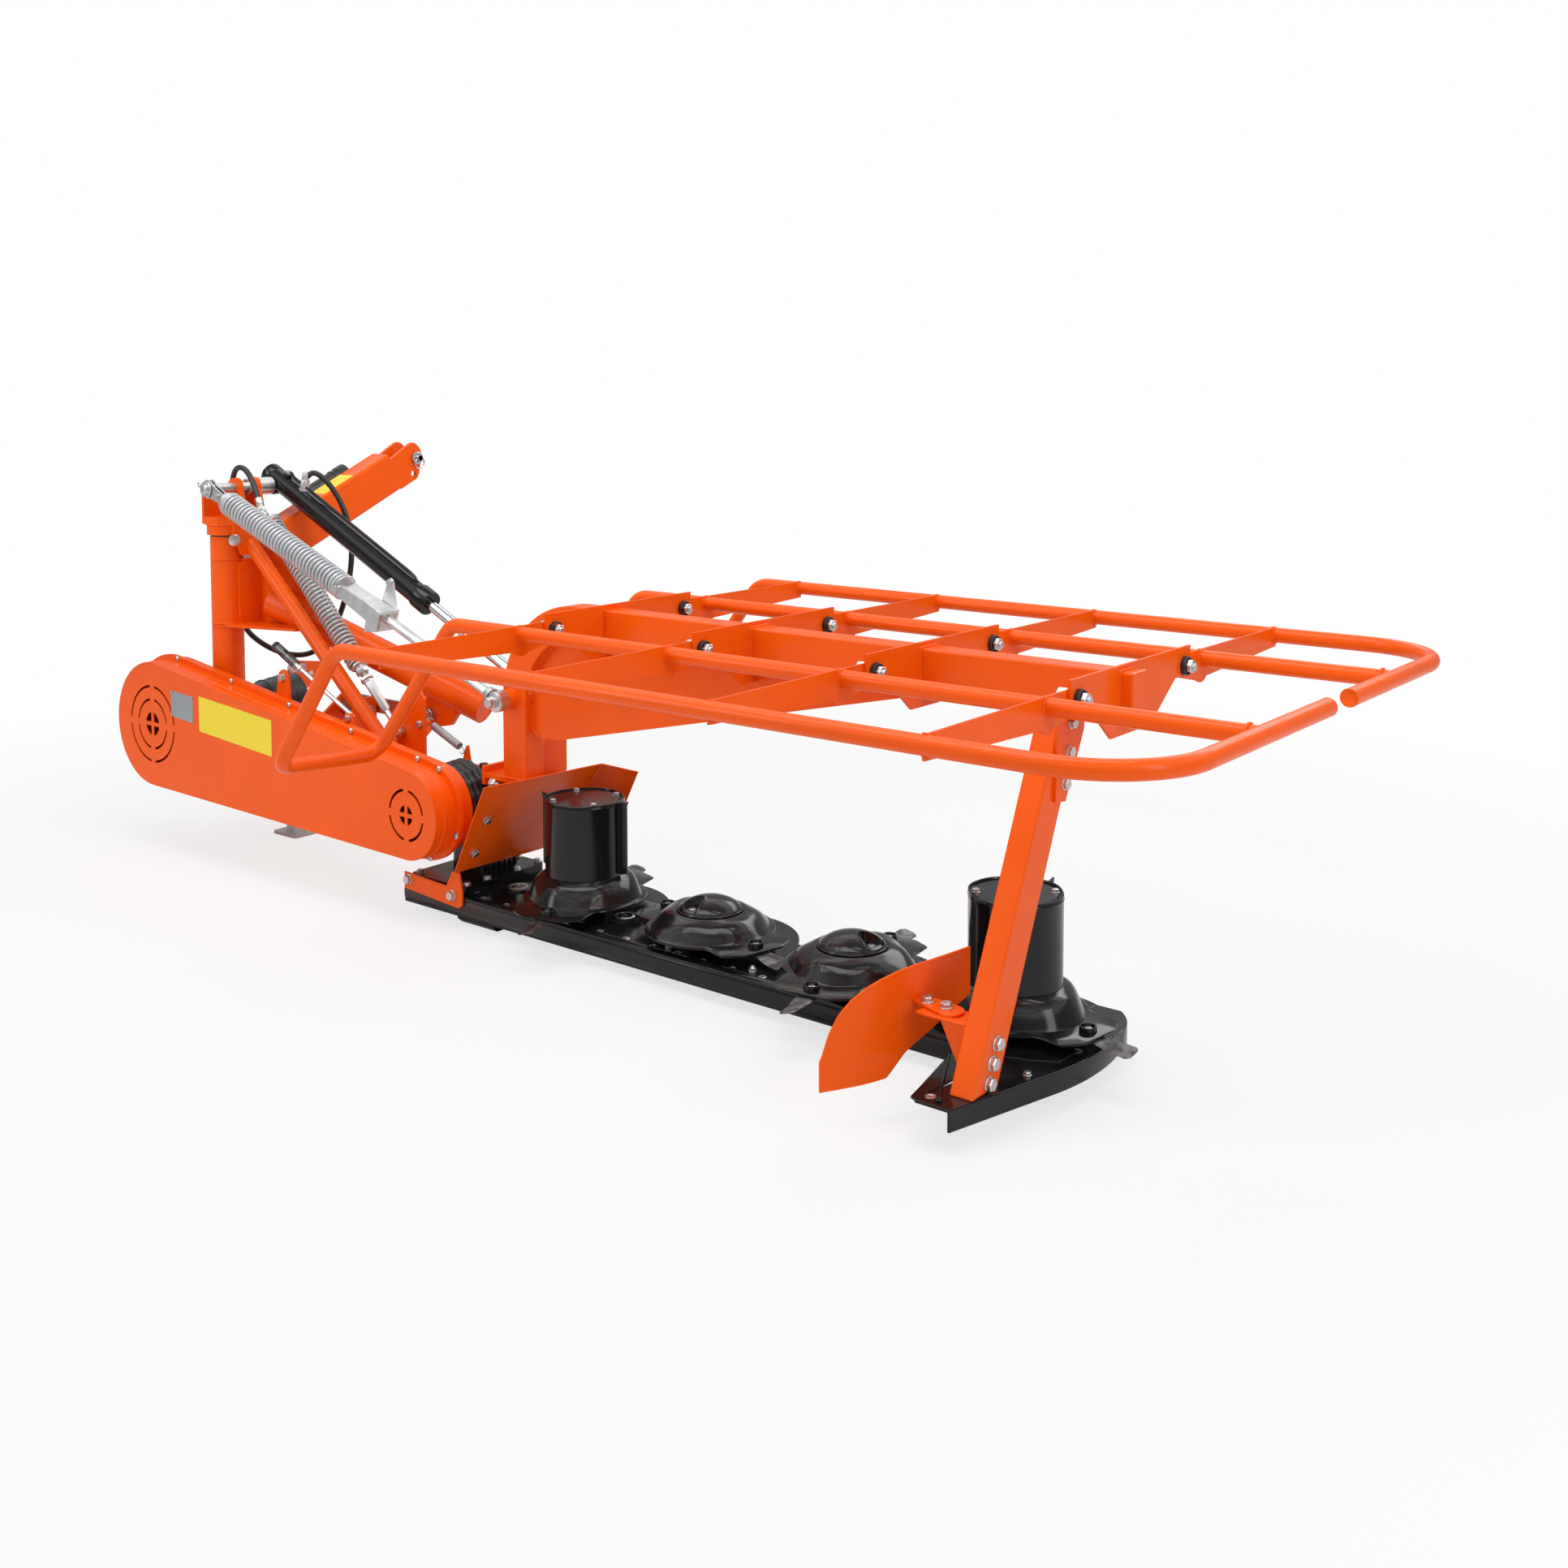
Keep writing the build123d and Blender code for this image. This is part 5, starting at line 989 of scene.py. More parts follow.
def fit_belt_guard():
    """Screws and folded edges of the belt guard, its blank plate and its blank sheet."""
    screws = Shape()
    for x, z in hull_walk(7, 12, 4) + [(-351, 392), (-388, 163)]:
        screws.cap_screw((x, FLANGE_FACE_Y, z), -Y, 9)
        screws.bolt((x, FLANGE_FACE_Y + 12, z), Y, 7, washer=False)
    screws.put("guard_screws", "swing_frame", "zinc")

    folds = Shape()
    for grow, depth, radius in ((-2.8, 3, 3.4), (-1.4, 30, 3.6)):
        folds.tube([(x, COVER_FACE_Y + depth, z) for x, z in hull_walk(grow, 260)], radius, 12,
                   closed=True)
    folds.put("guard_folds", "swing_frame", "orange", smooth=180)

    lean = Vector((1, 0, -0.075)).normalized()
    plate, rivets, sheet = Shape(), Shape(), Shape()
    plate.prism(((0, 0), (108, 0), (108, 74), (0, 74)), (-1420, COVER_FACE_Y - 1.2, 402), lean, Z,
                -1.4)
    plate.put("blank_plate", "swing_frame", "silver_plate", edge=0.4)
    for along, up in ((5, 5), (103, 5), (103, 69), (5, 69)):
        rivets.cap_screw(Vector((-1420, COVER_FACE_Y - 2.4, 402)) + lean * along + Z * up, -Y, 3)
    rivets.put("plate_rivets", "swing_frame", "zinc")
    sheet.prism(((0, 0), (336, 0), (336, 98), (0, 98)), (-1284, COVER_FACE_Y - 0.2, 376), lean, Z,
                -0.6)
    sheet.put("blank_guard_sheet", "swing_frame", "blank_sheet")


def fit_tensioner():
    """The belt tensioner on the guard's top: two lugs, and a spring on its rod between them."""
    lugs = Shape()
    for outline in (((-1096, 452), (-1085, 530), (-1078, 548), (-1066, 556), (-1056, 556),
                     (-1044, 548), (-1037, 530), (-1030, 440)),
                    ((-800, 424), (-790, 470), (-762, 470), (-752, 420))):
        lugs.prism(outline, (0, TENSIONER_Y - 10, 0), X, Z, 8)
    lugs.put("tensioner_lugs", "swing_frame", "orange", ("belt_tensioner",), edge=1)
    coil = Shape()
    coil.coil(Vector((-1118, TENSIONER_Y, 616)), Vector((-1024, TENSIONER_Y, 572)), 13, 3.2, 15)
    coil.put("tensioner_coil", "swing_frame", "blade_steel", smooth=180)
    rod, axis = Shape(), (346, 0, -161)
    rod.lathe((-1124, TENSIONER_Y, 619), axis,
              ((0, 6), (3, 6), (3, 10), (9, 10), (9, 6), (380, 6), (384, 4)), 20)
    rod.lathe((-1040, -92, 560), Y, ((0, 6), (0, 13), (1, 14), (43, 14), (44, 13), (44, 6)), 28)
    rod.bolt((-1061, -102, 534), -Y, 12)
    rod.bolt((-776, -102, 457), -Y, 10)
    rod.hexagon((-1008, TENSIONER_Y, 565), axis, 18, 10)
    rod.put("tensioner_rod", "swing_frame", "zinc")


def fit_drive():
    """The ribbed rubber gaiter, the splined drive shaft and the ribs of its bell."""
    boot = Shape()
    rings = []
    for y, radius in ((-102, 60), (-102, 92), (-98, 95), (-90, 96), (-86, 93), (-82, 99), (-74, 99),
                      (-70, 95), (-66, 102), (-58, 102), (-54, 97), (-50, 105), (-42, 105),
                      (-38, 99), (-34, 106), (-26, 106), (-24, 103), (-24, 60)):
        wave = 1.6 if radius > 92 and y > -96 else 0
        radii = [(t, radius + wave * cos(18 * t)) for t in angles(144)]
        rings.append([(FOLD_X + r * cos(t), y, FOLD_Z + r * sin(t)) for t, r in radii])
    boot.skin(rings)
    boot.put("ribbed_gaiter", "swing_frame", "rubber", ("gaiter",), smooth=60)

    x, z, _ = BIG_END
    shaft = Shape()
    shaft.lathe((x, -112, z), Y, ((0, 22), (2, 24), (250, 24), (252, 20), (254, 17.2), (258, 17.2)),
                36)
    splines = [(radius, radians(k * 60 + heading)) for k in range(6) for heading, radius in
               ((-15, 14.6), (-13, 17.4), (13, 17.4), (15, 14.6), (30, 14.4))]
    shaft.skin([[(x + radius * cos(t) * share, y, z + radius * sin(t) * share)
                 for radius, t in splines] for y, share in (
        (144, 1), (208, 1), (209, 0.9), (216, 0.9), (217, 1), (233, 1), (235, 0.93))])
    shaft.put("splined_shaft", "drive_shaft", "blade_steel", ("pto_shaft",), smooth=30)
    bell = Shape()
    for y, radius in ((-60, 52), (0, 52), (60, 52), (120, 61), (150, 72), (185, 75), (220, 79),
                      (252, 83)):
        bell.tube(arc((x, y, z), X, Z, radius, steps=60), 2.2, closed=True)
    bell.put("bell_ribs", "swing_frame", "plastic", smooth=180)


def fit_cylinder():
    """Pipe, ports, gland and eye bolts of the lift cylinder."""
    pin, eye = CYLINDER_PIN, CYLINDER_EYE
    axis, over = link_axes(pin, eye)

    def on_barrel(along, up=0):
        return pin + axis * along + over * up

    ports = Shape()
    ports.lathe(on_barrel(-50), axis, ((0, 24), (2, 29), (2, 31.5), (30, 31.5), (32, 30.2)), 44)
    ports.lathe(on_barrel(690), axis,
                ((0, 30.4), (4, 34.8), (46, 34.8), (50, 33), (50, 17), (47, 16)), 44)
    ports.lathe(on_barrel(30, 26), over, ((0, 13), (12, 13), (13, 11), (15, 8)), 20)
    ports.put("cylinder_ports", "lift_barrel", "black")

    pipe = Shape()
    way = (30, 36), (32, 44), (44, 46), (60, 40), (630, 40), (655, 37), (668, 30), (672, 24)
    pipe.tube([on_barrel(along, up) for along, up in way], 4.2, 12)
    pipe.put("cylinder_pipe", "lift_barrel", "black", smooth=60)

    unions = Shape()
    unions.hexagon(on_barrel(30, 38), over, 19, 9)
    end = Vector(HOSE_POINTS[0])
    rise = end - ELBOW_FOOT
    unions.hexagon(between(ELBOW_FOOT, end, 20), rise, 26, 13)
    unions.lathe(between(ELBOW_FOOT, end, 33), rise,
                 ((0, 11), (2, 13), (24, 13), (27, 11), (30, 9.4)), 28)
    unions.lathe(end - rise.normalized() * 2, (3.5, 0, 13),
                 ((0, 9.4), (2, 10.8), (26, 10.4), (28, 9.2)), 28)
    for side in (-1, 1):
        unions.lathe(eye + Y * side * 18, Y * side, ((0, 22), (2.4, 22), (3, 21)))
    unions.bolt(eye + Y * 28, Y, 17)
    unions.put("cylinder_unions", "lift_barrel", "zinc")

    nuts = Shape()
    nuts.bolt(eye + Y * 20.8, Y, 18, stub=8)
    nuts.lathe(between(eye, pin, 24), -axis, ((0, 22), (8, 20), (14, 16.5)))
    nuts.hexagon(between(eye, pin, 36), -axis, 36, 12)
    nuts.lathe(eye + Z * 27, Z, ((0, 4), (3, 4), (4, 2.6), (9, 2.6), (10, 3.4), (12, 2)), 14)
    nuts.put("rod_eye_nuts", "lift_rod", "zinc")


def fit_float_link():
    """The float link's channel with its ears, nuts and bolts, and the end of its rod."""
    pin, eye = FLOAT_PIN, FLOAT_EYE
    axis, over = link_axes(pin, eye)
    channel = Shape()
    for base in (-25, 20):
        channel.prism(((640, -14), (660, -19), (812, -27), (838, -27), (838, 20), (640, 14)),
                      pin + Y * base, axis, over, -5)
    channel.skin([[pin + axis * place + Y * aside + over * up for aside, up in (
        (-half, low), (half, low), (half, low + 4), (-half, low + 4))] for place, half, low in (
            (640, 20, 10), (700, 22, 14), (760, 25, 16), (838, 29, 16), (842, 29, 16))])
    channel.prism(((772, 18), (838, 18), (838, 24), (826, 30), (796, 82), (789, 88), (781, 88),
                   (775, 82)), pin + Y * 28, axis, over, -5)
    channel.prism(((784, -24), (842, -24), (842, -32), (794, -58), (786, -56)), pin - Y * 22, axis,
                  over, -5)
    channel.prism(((-30, -34), (34, -34), (34, 22), (-30, 22)), pin + axis * 838, Y, over, -4)
    channel.put("float_channel_plates", "float_upper", "zinc", ("float_channel",), edge=1)
    nuts = Shape()
    nuts.lathe(pin + axis * 785 + over * 76 + Y * 22.6, Y, ((0, 7), (0, 10), (6, 10), (6, 7)), 24)
    for side in (-1, 1):
        nuts.bolt(pin + axis * 654 + Y * side * 25, Y * side, 12)
    nuts.put("float_channel_nuts", "float_upper", "zinc")
    rod = Shape()
    rod.bolt(eye - Y * 25, -Y, 15)
    rod.lathe(eye - Y * 13, -Y, ((0, 24), (3, 24), (4, 22)))
    rod.lathe(eye - axis * 46, axis, ((0, 14), (4, 17), (20, 20)), 28)
    rod.put("float_rod_end", "float_lower", "zinc")


def fit_head():
    """Clips and bolts of the swinging head."""
    pin = Vector((CROSS_PIN_X, 0, CROSS_PIN_Z))
    clips = Shape()
    clips.lathe(pin - Y * 118, -Y, ((0, 15), (3, 15), (5, 12)))
    for y, way in ((-110, -Y), (162, Y)):
        clips.lathe(pin + Y * y, way, ((0, 24), (3, 24), (3.6, 23)), 36)
    clips.tube([pin + Vector(step) for step in ((-24, -116, 10), (0, -116.5, 0), (26, -117, -12))],
               2.4)
    clips.tube(arc(pin + Vector((-28, -116, 12)), X, Z, 6), 2.2, closed=True)
    clips.lathe((-1336, -62, 895), (1, -0.4, 0), ((-16, 12), (0, 12), (2, 17), (8, 17), (10, 13)),
                28)
    clips.bolt((-664, 45, 430), -Y, 11)
    clips.put("head_clips", "swing_frame", "zinc")


def fit_hitch():
    """Linch pin, clips and bolts of the hitch and of the arm's foot."""
    pins = Shape()
    top_pin = Vector((-1316, 588, 1105))
    pins.lathe(top_pin, X,
               ((0, 17), (2, 20), (4, 20), (5, 18), (5, 9.8), (17, 9.8), (18, 8.4)))
    pins.tube(arc(top_pin + Vector((11, 2, -16)), Y, Vector((0, 0.1, 1)), 17, steps=36), 2.3,
              closed=True)
    pins.tube([top_pin + Vector((11, 0, -14)), top_pin + Vector((11, 0, 16))], 3, 10)
    pins.bolt((-1395, 62, 880), Y, 12)
    pins.bolt((-769, 164, 425), -Y, 16)
    pins.bolt((-769, 200, 425), Y, 16, stub=6)
    pins.bolt((-1120, 180, 409), -Y, 14)
    for side in (-1, 1):
        x = MAST_X + side * 411.5
        pins.lathe((x - side * 14, 450, 400), X * side, ((-4, 11.6), (4, 11.6)), 28)
        pins.tube(arc((x - side * 10, 452, 384), Y, Z, 16, steps=32), 2.2, closed=True)
    pins.put("hitch_pins_and_clips", "headstock", "zinc")


def fold_mast():
    """The mast as a box with folded edges, open at its end between two rounded ears."""
    open_end, eye, half = 492, 554, 51.5

    def rear(height):
        # the mast's rear is cut upright, 2 mm ahead of its foot
        return (2 + height * MAST_ALONG.z) / MAST_ALONG.y

    section = []
    for x, up, start in ((32.9, 51, 0), (-32.9, 51, 90), (-32.9, -51, 180), (32.9, -51, 270)):
        for step in range(7):
            t = radians(start + step * 15)
            section.append((x + 9 * cos(t), up + 9 * sin(t)))
    shape = Shape()
    shape.skin([[on_mast(MAST_X + x * share, rear(up) if place is None else place, up * share)
                 for x, up in section]
                for place, share in ((None, 1), (open_end, 1), (open_end, 0.86), (380, 0.86))])
    hole = [(eye + 9.8 * cos(radians(t)), -40 + 9.8 * sin(radians(t))) for t in range(-90, 91, 15)]
    nose = [(eye + 32 + 24.94 * cos(radians(t)), 8 + 43 * sin(radians(t)))
            for t in range(0, 91, 10)]
    tip = [(eye, -60), (eye + 10, -57), (eye + 20, -48), (eye + 52, -4), *nose, (eye, 49),
           *reversed(hole)]
    flank = [(rear(-half), -half), (open_end - 2, -half), (open_end - 2, -60), (eye, -60),
             *((2 * eye - along, up) for along, up in hole),
             (eye, 49), (open_end, 42), (open_end, half), (rear(half), half)]
    for x in (MAST_X - MAST_HALF_WIDTH, MAST_X + MAST_HALF_WIDTH - EAR_THICKNESS):
        for outline in (tip, flank):
            shape.prism(outline, on_mast(x, 0, 0), MAST_ALONG, MAST_UP, EAR_THICKNESS)
    shape.put("folded_mast", "headstock", "orange", ("mast",), smooth=30)


def fit_headstock():
    """What stands on the mast, the arm tube and the column, and the breakaway roller's bolts."""
    pipe, pipe_x = Shape(), MAST_X - 68
    pipe.lathe(on_mast(pipe_x, 214, 46), MAST_ALONG,
               ((0, 20), (3, 24), (8, 25), (150, 25), (151, 27), (180, 27), (184, 25), (188, 18),
                (190, 8)), 40)
    for along in (236, 346):
        pipe.tube(arc(on_mast(pipe_x, along, 46), MAST_UP, X, 26), 1.6, 6, closed=True)
    pipe.put("papers_tube", "headstock", "plastic")
    sheet = Shape()
    sheet.prism(((0, 0), (118, 0), (118, 66), (0, 66)), on_mast(MAST_X + 33, 234, 60), MAST_ALONG,
                -X, 0.6)
    sheet.put("blank_mast_sheet", "headstock", "blank_sheet")

    end, washer, roller = Shape(), Shape(), Shape()
    end.lathe((-603, 219, 457.5), ARM_AXIS, ((0, 44.4), (5, 44.4), (6, 43.4), (6, 39), (3, 38)), 48)
    end.put("arm_tube_end", "headstock", "orange")
    washer.lathe((COLUMN_X, COLUMN_Y, 902), Z, ((0, 43), (6.4, 43)), 48)
    washer.put("column_washer", "headstock", "plastic")
    roller.bolt((-1120, 160, 409), -X, 14)
    roller.bolt((-1028, 160, 409), X, 14)
    roller.put("roller_bolts", "swing_frame", "zinc")


def fit_shoe():
    """Bolts of the outer support and shoe, the shelf's gusset, the wear plate and the heel."""
    screws = Shape()
    for y, z in ((-296, 164), (-312, 132), (-323, 98)):
        screws.bolt((SUPPORT_FACE_X, y, z), X, 14)
    screws.bolt((1178, -284, 201), Z, 13)
    screws.bolt((1222, -288, 201), Z, 12)
    for x, y in ((1290, -150), (1340, -128), (1372, -60), (1340, 60), (1300, 120), (1262, -400)):
        screws.lathe((x, y, 81.6), Z, ((0, 10.5), (0.9, 10.5), (1.3, 9.6), (1.3, 6.2), (0.6, 5.6),
                                       (0.6, 3.4)), 26)
    screws.bolt((1352, -214, 82), Z, 8)
    screws.put("shoe_screws", "cutter_frame", "zinc")

    gusset = Shape()
    gusset.prism(((1224, 196), (1285, 196), (1285, 96), (1276, 92)), (0, -318, 0), X, Z, -6)
    gusset.prism(((1176, 10), (1184, 6), (1285, 6), (1285, 66), (1190, 62)), (0, -330, 190), X, Y,
                 5)
    gusset.put("shelf_gusset", "cutter_frame", "orange", edge=1.4)
    wear = Shape()
    wear.prism(((1200, -150), (1262, -178), (1318, -160), (1372, -130), (1376, -60), (1300, -40)),
               (0, 0, 76), X, Y, 8.5)
    wear.put("wear_plate", "cutter_frame", "black", edge=1.4)
    heel = Shape()
    heel.prism(((1250, -428), (1258, -120), (1204, -150), (1187, -222), (1222, -372), (1232, -420)),
               (0, 0, 77), X, Y, 5)
    heel.tube([(1190, -226, 83), (1262, -366, 83), (1286, -404, 83)], 3)
    heel.lathe((1284, -408, 82), Z, ((0, 7), (4, 7), (5, 5.5)), 16)
    heel.put("shoe_heel", "cutter_frame", "black", edge=1)

    clamp, bolts = Shape(), Shape()
    clamp.prism(((-90, 736), (-98, 566), (-60, 560), (12, 690), (12, 736)),
                (SUPPORT_FACE_X, 0, 0), Y, Z, 7)
    clamp.put("support_clamp", "cutter_frame", "orange", edge=1.2)
    for y, z in ((-40, 709), (-50, 655), (-66, 596)):
        bolts.bolt((SUPPORT_FACE_X + 7, y, z), X, 12)
    bolts.put("clamp_bolts", "cutter_frame", "zinc")


def fold_deflector():
    """The inner deflector as a slanted leaf with a folded wing, and its bolts."""
    leaf = Shape()
    leaf.prism(((-157, 8), (143, 0), (189, 40), (189, 298), (-222, 322)), (-300, 0, 134), Y,
               (182, 0, 250), -3)
    wing = [Vector(point) for point in (
        (-125, 189, 375), (-38, 230, 359), (-119, 230, 200), (-242, 189, 214))]
    lift = (wing[1] - wing[0]).cross(wing[3] - wing[0]).normalized() * 3
    leaf.skin([wing, [point + lift for point in wing]])
    leaf.put("folded_deflector", "cutter_frame", "orange", ("inner_deflector",), smooth=30,
             edge=0.8)
    bolts = Shape()
    bolts.bolts((250, 0, -182), 11, *DEFLECTOR_BOLTS)
    bolts.bolt((-262, -58, 350), X, 16, stub=10)
    bolts.put("deflector_bolts", "cutter_frame", "zinc")


def height_at(place, table):
    """Height read from a table of (distance, height) pairs."""
    for (start, low), (end, high) in zip(table, table[1:]):
        if place <= end:
            return low + (high - low) * (place - start) / (end - start)
    return table[-1][1]


def sweep_board():
    """The swath board as a curved sheet with its rounded heel, and the shelf that carries it."""
    way = [Vector((x, y, 0)) for x, y in (
        (1178, -60), (1172, -126), (1150, -277), (1118, -378), (1062, -466), (1030, -512))]
    spots = []
    for before, start, end, after in zip(way, way[1:], way[2:], way[3:]):
        for t in (k / 16 for k in range(16)):
            spots.append(0.5 * (2 * start + (end - before) * t
                                + (2 * before - 5 * start + 4 * end - after) * t * t
                                + (3 * start - before - 3 * end + after) * t * t * t))
    spots.append(way[4])
    run = 0
    rings = []
    for index, spot in enumerate(spots):
        before, after = spots[max(index - 1, 0)], spots[min(index + 1, len(spots) - 1)]
        run += (spot - before).length
        ahead = (after - before).normalized()
        out = Vector((-ahead.y, ahead.x, 0)) * 2.5
        top, low = height_at(run, BOARD_TOP), height_at(run, BOARD_LOW)
        rings.append([spot + out * side + Z * height
                      for side, height in ((1, low), (-1, low), (-1, top), (1, top))])
    board = Shape()
    board.skin(rings)
    corner = [(1236 + 24 * cos(radians(t)), -292 + 26 * sin(radians(t)))
              for t in range(-80, 81, 20)]
    board.prism([(1148, -255), (1140, -284), (1146, -290), (1232, -318), *corner], (0, 0, 196),
                X, Y, 5)
    board.put("swath_sheet", "cutter_frame", "orange", ("swath_board",), smooth=30, edge=1)


def lay_welds():
    """Weld beads on the cutter frame, on the column and on the swinging head."""
    size = looks().weld / MM
    beam = Shape()
    for x in BRACKETS_X[1:]:
        for edge in (x - 3, x + 3):
            beam.weld([(edge, -61, 722), (edge, -61, 819), (edge, -59, 821), (edge, -1, 821),
                       (edge, 1, 819), (edge, 1, 722)], size)
    for points, share, closed in (
            (((-221, -60, 375), (-141, -60, 375), (-141, 0, 375), (-221, 0, 375)), 1.1, True),
            (((-140, -36, 500), (-140, -36, 566)), 1, False),
            (arc((29, -37, 570), X, Z, 170, 180, -84, 30), 1, False),
            (((-140, -37, 500), (-118, -37, 483)), 1, False),
            (((122, -61, 741), (122, -61, 819)), 1, False),
            (((1285, -320, 186), (1285, -300, 186)), 1, False),
            (((1284, -322, 190), (1284, -322, 100)), 1.2, False),
            (((1284, -68, 721), (1284, 8, 721), (1336, 8, 721), (1336, -68, 721)), 1, True)):
        beam.weld(points, size * share, closed)
    beam.put("beam_welds", "cutter_frame", "orange", smooth=180)

    column = Shape()
    for z in (653, 645, 838):
        column.weld(arc((COLUMN_X, COLUMN_Y, z), X, Y, COLUMN_RADIUS + 0.5, -100, 230, 40), size)
    for x in (MAST_X - MAST_HALF_WIDTH, MAST_X + MAST_HALF_WIDTH):
        column.weld([(x, 63, 800), (x, 63, 900)], size)
    axis = ARM_AXIS.normalized()
    across = axis.orthogonal().normalized()
    column.weld(arc(ARM_START + axis * 154, across, axis.cross(across), 45, steps=60), size,
                closed=True)
    column.put("column_welds", "headstock", "orange", smooth=180)

    swing = Shape()
    swing.weld(arc((-711, 0, 338), X * 1.5, Y, 22, steps=40), size * 1.2, closed=True)
    swing.weld(arc((COLUMN_X, COLUMN_Y, 938), X, Y, COLUMN_RADIUS + 8.4, steps=60), size,
               closed=True)
    for x in (-1130, -1120, -1028, -1018):
        swing.weld([(x, -14, 331), (x, 10, 331)], size)
    swing.weld([(-760, 44, 339), (-650, 44, 339)], size)
    swing.put("swing_welds", "swing_frame", "orange", smooth=180)


# Stage


def set_camera():
    """The camera at the photograph's place, its picture shifted instead of tilted."""
    right = Vector((0.7889, 0.6145, 0.0))
    forward = Vector((-0.6132, 0.7872, -0.0661)).normalized()
    up = right.cross(forward)
    lens = bpy.data.cameras.new("photo_lens")
    lens.lens = 38.695
    lens.sensor_width = 36
    lens.shift_x = -0.00445
    lens.shift_y = -0.1912
    lens.clip_start = 0.05
    lens.clip_end = 60
    camera = add_object("photo_camera", lens)
    turned = Matrix((right, up, -forward)).transposed().to_4x4()
    camera.matrix_world = Matrix.Translation((DISC_ONE_X + 2.868, -2.868, 1.373)) @ turned
    bpy.context.scene.camera = camera


def set_stage():
    """Pale floor, white surround and soft lamps."""
    scene = bpy.context.scene
    scene.view_settings.view_transform = "Standard"
    data = bpy.data.meshes.new("floor")
    reach = 14
    data.from_pydata([(-reach, -reach, 0), (reach, -reach, 0), (reach, reach, 0),
                      (-reach, reach, 0)], [], [(0, 1, 2, 3)])
    floor = add_object("floor", data)
    floor.location.z = -0.0005
    data.materials.append(material("pale_floor", pale_floor))
    scene.world = bpy.data.worlds.new("white_surround")
    white_surround(Graph(scene.world))
    for name, place, target, size, power in LAMPS:
        light = bpy.data.lights.new(name, "AREA")
        light.shape = "RECTANGLE"
        light.size, light.size_y = size
        light.energy = power
        lamp = add_object(name, light)
        lamp.location = place
        lamp.rotation_mode = "QUATERNION"
        lamp.rotation_quaternion = (Vector(target) - Vector(place)).to_track_quat("-Z", "Y")


# Operators, panel and registration


def run(*actions):
    """Run building functions in order; one that can't finish raises, and so does its operator."""
    for action in actions:
        action()
    return {"FINISHED"}


class MOWER_OT_finishes(Operator):
    """Make the paints, platings and rubbers"""
    bl_idname = "mower.finishes"
    bl_label = "Mix the finishes"

    def execute(self, context):
        return run(mix_finishes)


class MOWER_OT_frame_paint(Operator):
    """Give the pieces carried over from the frame their finish and rounded edges"""
    bl_idname = "mower.frame_paint"
    bl_label = "Paint the frame"

    def execute(self, context):
        return run(paint_frame)


class MOWER_OT_camera(Operator):
    """Stand the camera where the photograph was taken, its picture shifted down"""
    bl_idname = "mower.camera"
    bl_label = "Place the camera"

    def execute(self, context):
        return run(set_camera)


class MOWER_OT_hose(Operator):
    """Lay the supply hose and its quick coupler, hung from the cylinder's head"""
    bl_idname = "mower.hose"
    bl_label = "Lay the hose"

    def execute(self, context):
        return run(lay_hose)


class MOWER_OT_springs(Operator):
    """Wind the float, brace and return springs, with their hooks and rods"""
    bl_idname = "mower.springs"
    bl_label = "Wind the springs"

    def execute(self, context):
        return run(wind_float_spring, wind_brace_spring, wind_return_spring)


class MOWER_OT_discs(Operator):
    """Press the four cutting discs with drums or domed caps, their screws and blades"""
    bl_idname = "mower.discs"
    bl_label = "Press the discs"

    def execute(self, context):
        return run(spin_discs)


class MOWER_OT_bar(Operator):
    """Set the cutter bar's rivets and covers and the gearbox's screws and ribs"""
    bl_idname = "mower.bar"
    bl_label = "Fit the cutter bar"

    def execute(self, context):
        return run(fit_cutter_bar, fit_gearbox)


class MOWER_OT_guards(Operator):
    """Set the hinge bolts, welds and open ends of the guard halves"""
    bl_idname = "mower.guards"
    bl_label = "Fit the guards"

    def execute(self, context):
        return run(fit_guards)


class MOWER_OT_belt_guard(Operator):
    """Set the belt guard's screws, folds and plates, its tensioner, gaiter and drive shaft"""
    bl_idname = "mower.belt_guard"
    bl_label = "Fit the belt guard"

    def execute(self, context):
        return run(fit_belt_guard, fit_tensioner, fit_drive)


class MOWER_OT_cylinder(Operator):
    """Set the lift cylinder's pipe, ports and nuts"""
    bl_idname = "mower.cylinder"
    bl_label = "Fit the cylinder"

    def execute(self, context):
        return run(fit_cylinder)


class MOWER_OT_float_link(Operator):
    """Set the float link's channel, nuts and bolts"""
    bl_idname = "mower.float_link"
    bl_label = "Fit the float link"

    def execute(self, context):
        return run(fit_float_link)


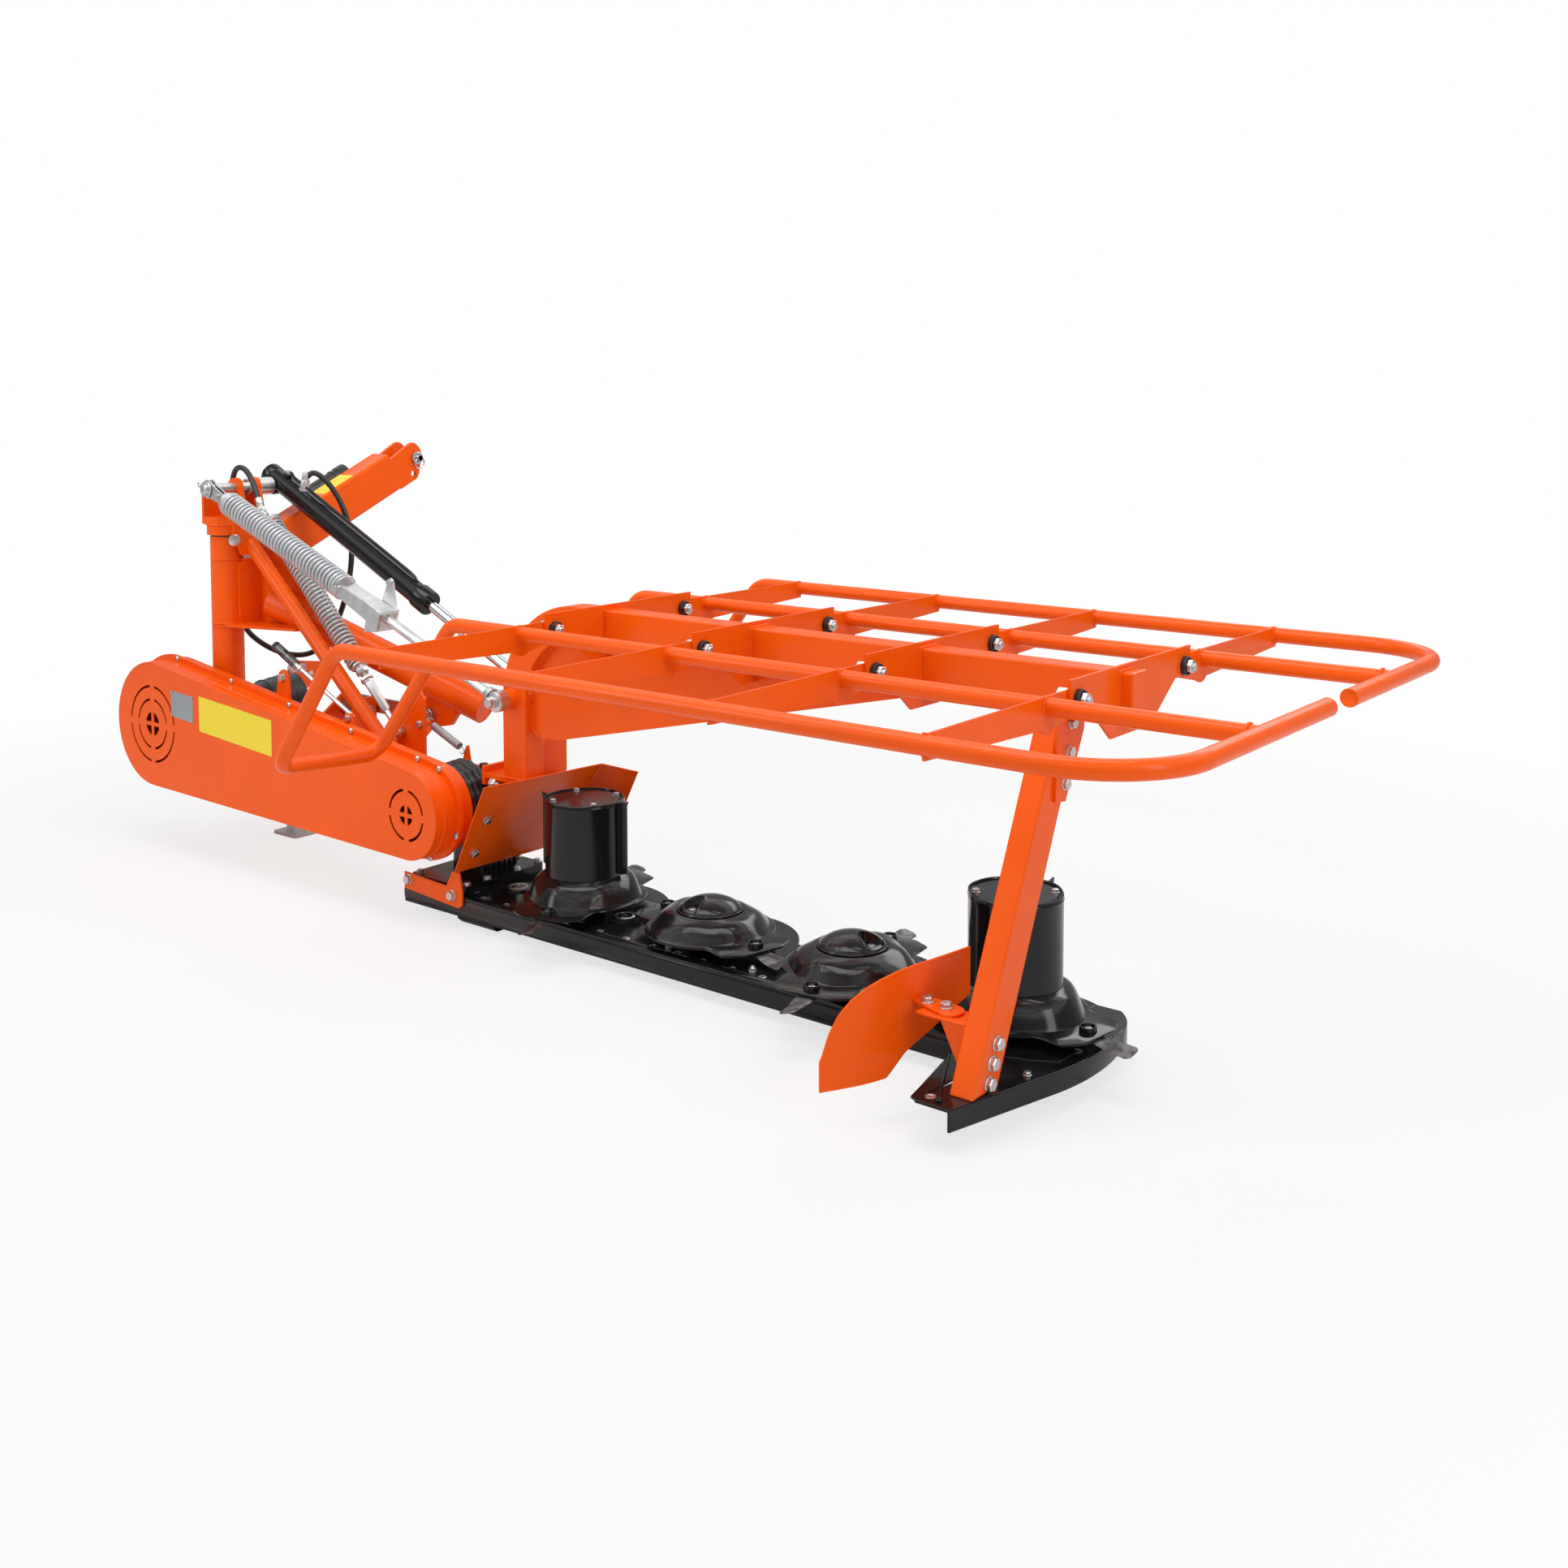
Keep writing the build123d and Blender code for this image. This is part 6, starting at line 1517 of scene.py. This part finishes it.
class MOWER_OT_headstock(Operator):
    """Set the headstock's mast, pins, clips and bolts"""
    bl_idname = "mower.headstock"
    bl_label = "Fit the headstock"

    def execute(self, context):
        return run(fit_head, fit_hitch, fold_mast, fit_headstock)


class MOWER_OT_shoe(Operator):
    """Set the outer shoe's fittings and the inner deflector"""
    bl_idname = "mower.shoe"
    bl_label = "Fit the shoe"

    def execute(self, context):
        return run(fit_shoe, fold_deflector)


class MOWER_OT_swath_board(Operator):
    """Bend the swath board and its shelf"""
    bl_idname = "mower.swath_board"
    bl_label = "Bend the swath board"

    def execute(self, context):
        return run(sweep_board)


class MOWER_OT_welds(Operator):
    """Lay the weld beads where plates and tubes of the frame meet"""
    bl_idname = "mower.welds"
    bl_label = "Lay the welds"

    def execute(self, context):
        return run(lay_welds)


class MOWER_OT_stage(Operator):
    """Set the pale floor, the white surround and the soft lamps"""
    bl_idname = "mower.stage"
    bl_label = "Set the stage"

    def execute(self, context):
        return run(set_stage)


STEPS = (
    MOWER_OT_finishes, MOWER_OT_frame_paint, MOWER_OT_camera, MOWER_OT_hose, MOWER_OT_springs,
    MOWER_OT_discs, MOWER_OT_bar, MOWER_OT_guards, MOWER_OT_belt_guard, MOWER_OT_cylinder,
    MOWER_OT_float_link, MOWER_OT_headstock, MOWER_OT_shoe, MOWER_OT_swath_board, MOWER_OT_welds,
    MOWER_OT_stage,
)


class MOWER_PT_panel(Panel):
    """The sidebar's list of what can be built."""

    bl_idname = "MOWER_PT_panel"
    bl_label = "Disc mower"
    bl_space_type = "VIEW_3D"
    bl_region_type = "UI"
    bl_category = "Mower"

    def draw(self, context):
        column = self.layout.column()
        for name in MowerLooks.__annotations__:
            column.prop(context.scene.mower_looks, name)
        for step in STEPS:
            column.operator(step.bl_idname)


CLASSES = (MowerLooks, *STEPS, MOWER_PT_panel)


def register():
    for made in CLASSES:
        bpy.utils.register_class(made)
    bpy.types.Scene.mower_looks = PointerProperty(type=MowerLooks)


def unregister():
    del bpy.types.Scene.mower_looks
    for made in reversed(CLASSES):
        bpy.utils.unregister_class(made)


def main():
    register()
    for step in STEPS:
        getattr(bpy.ops.mower, step.bl_idname.split(".")[1])()


if __name__ == "__main__":
    main()
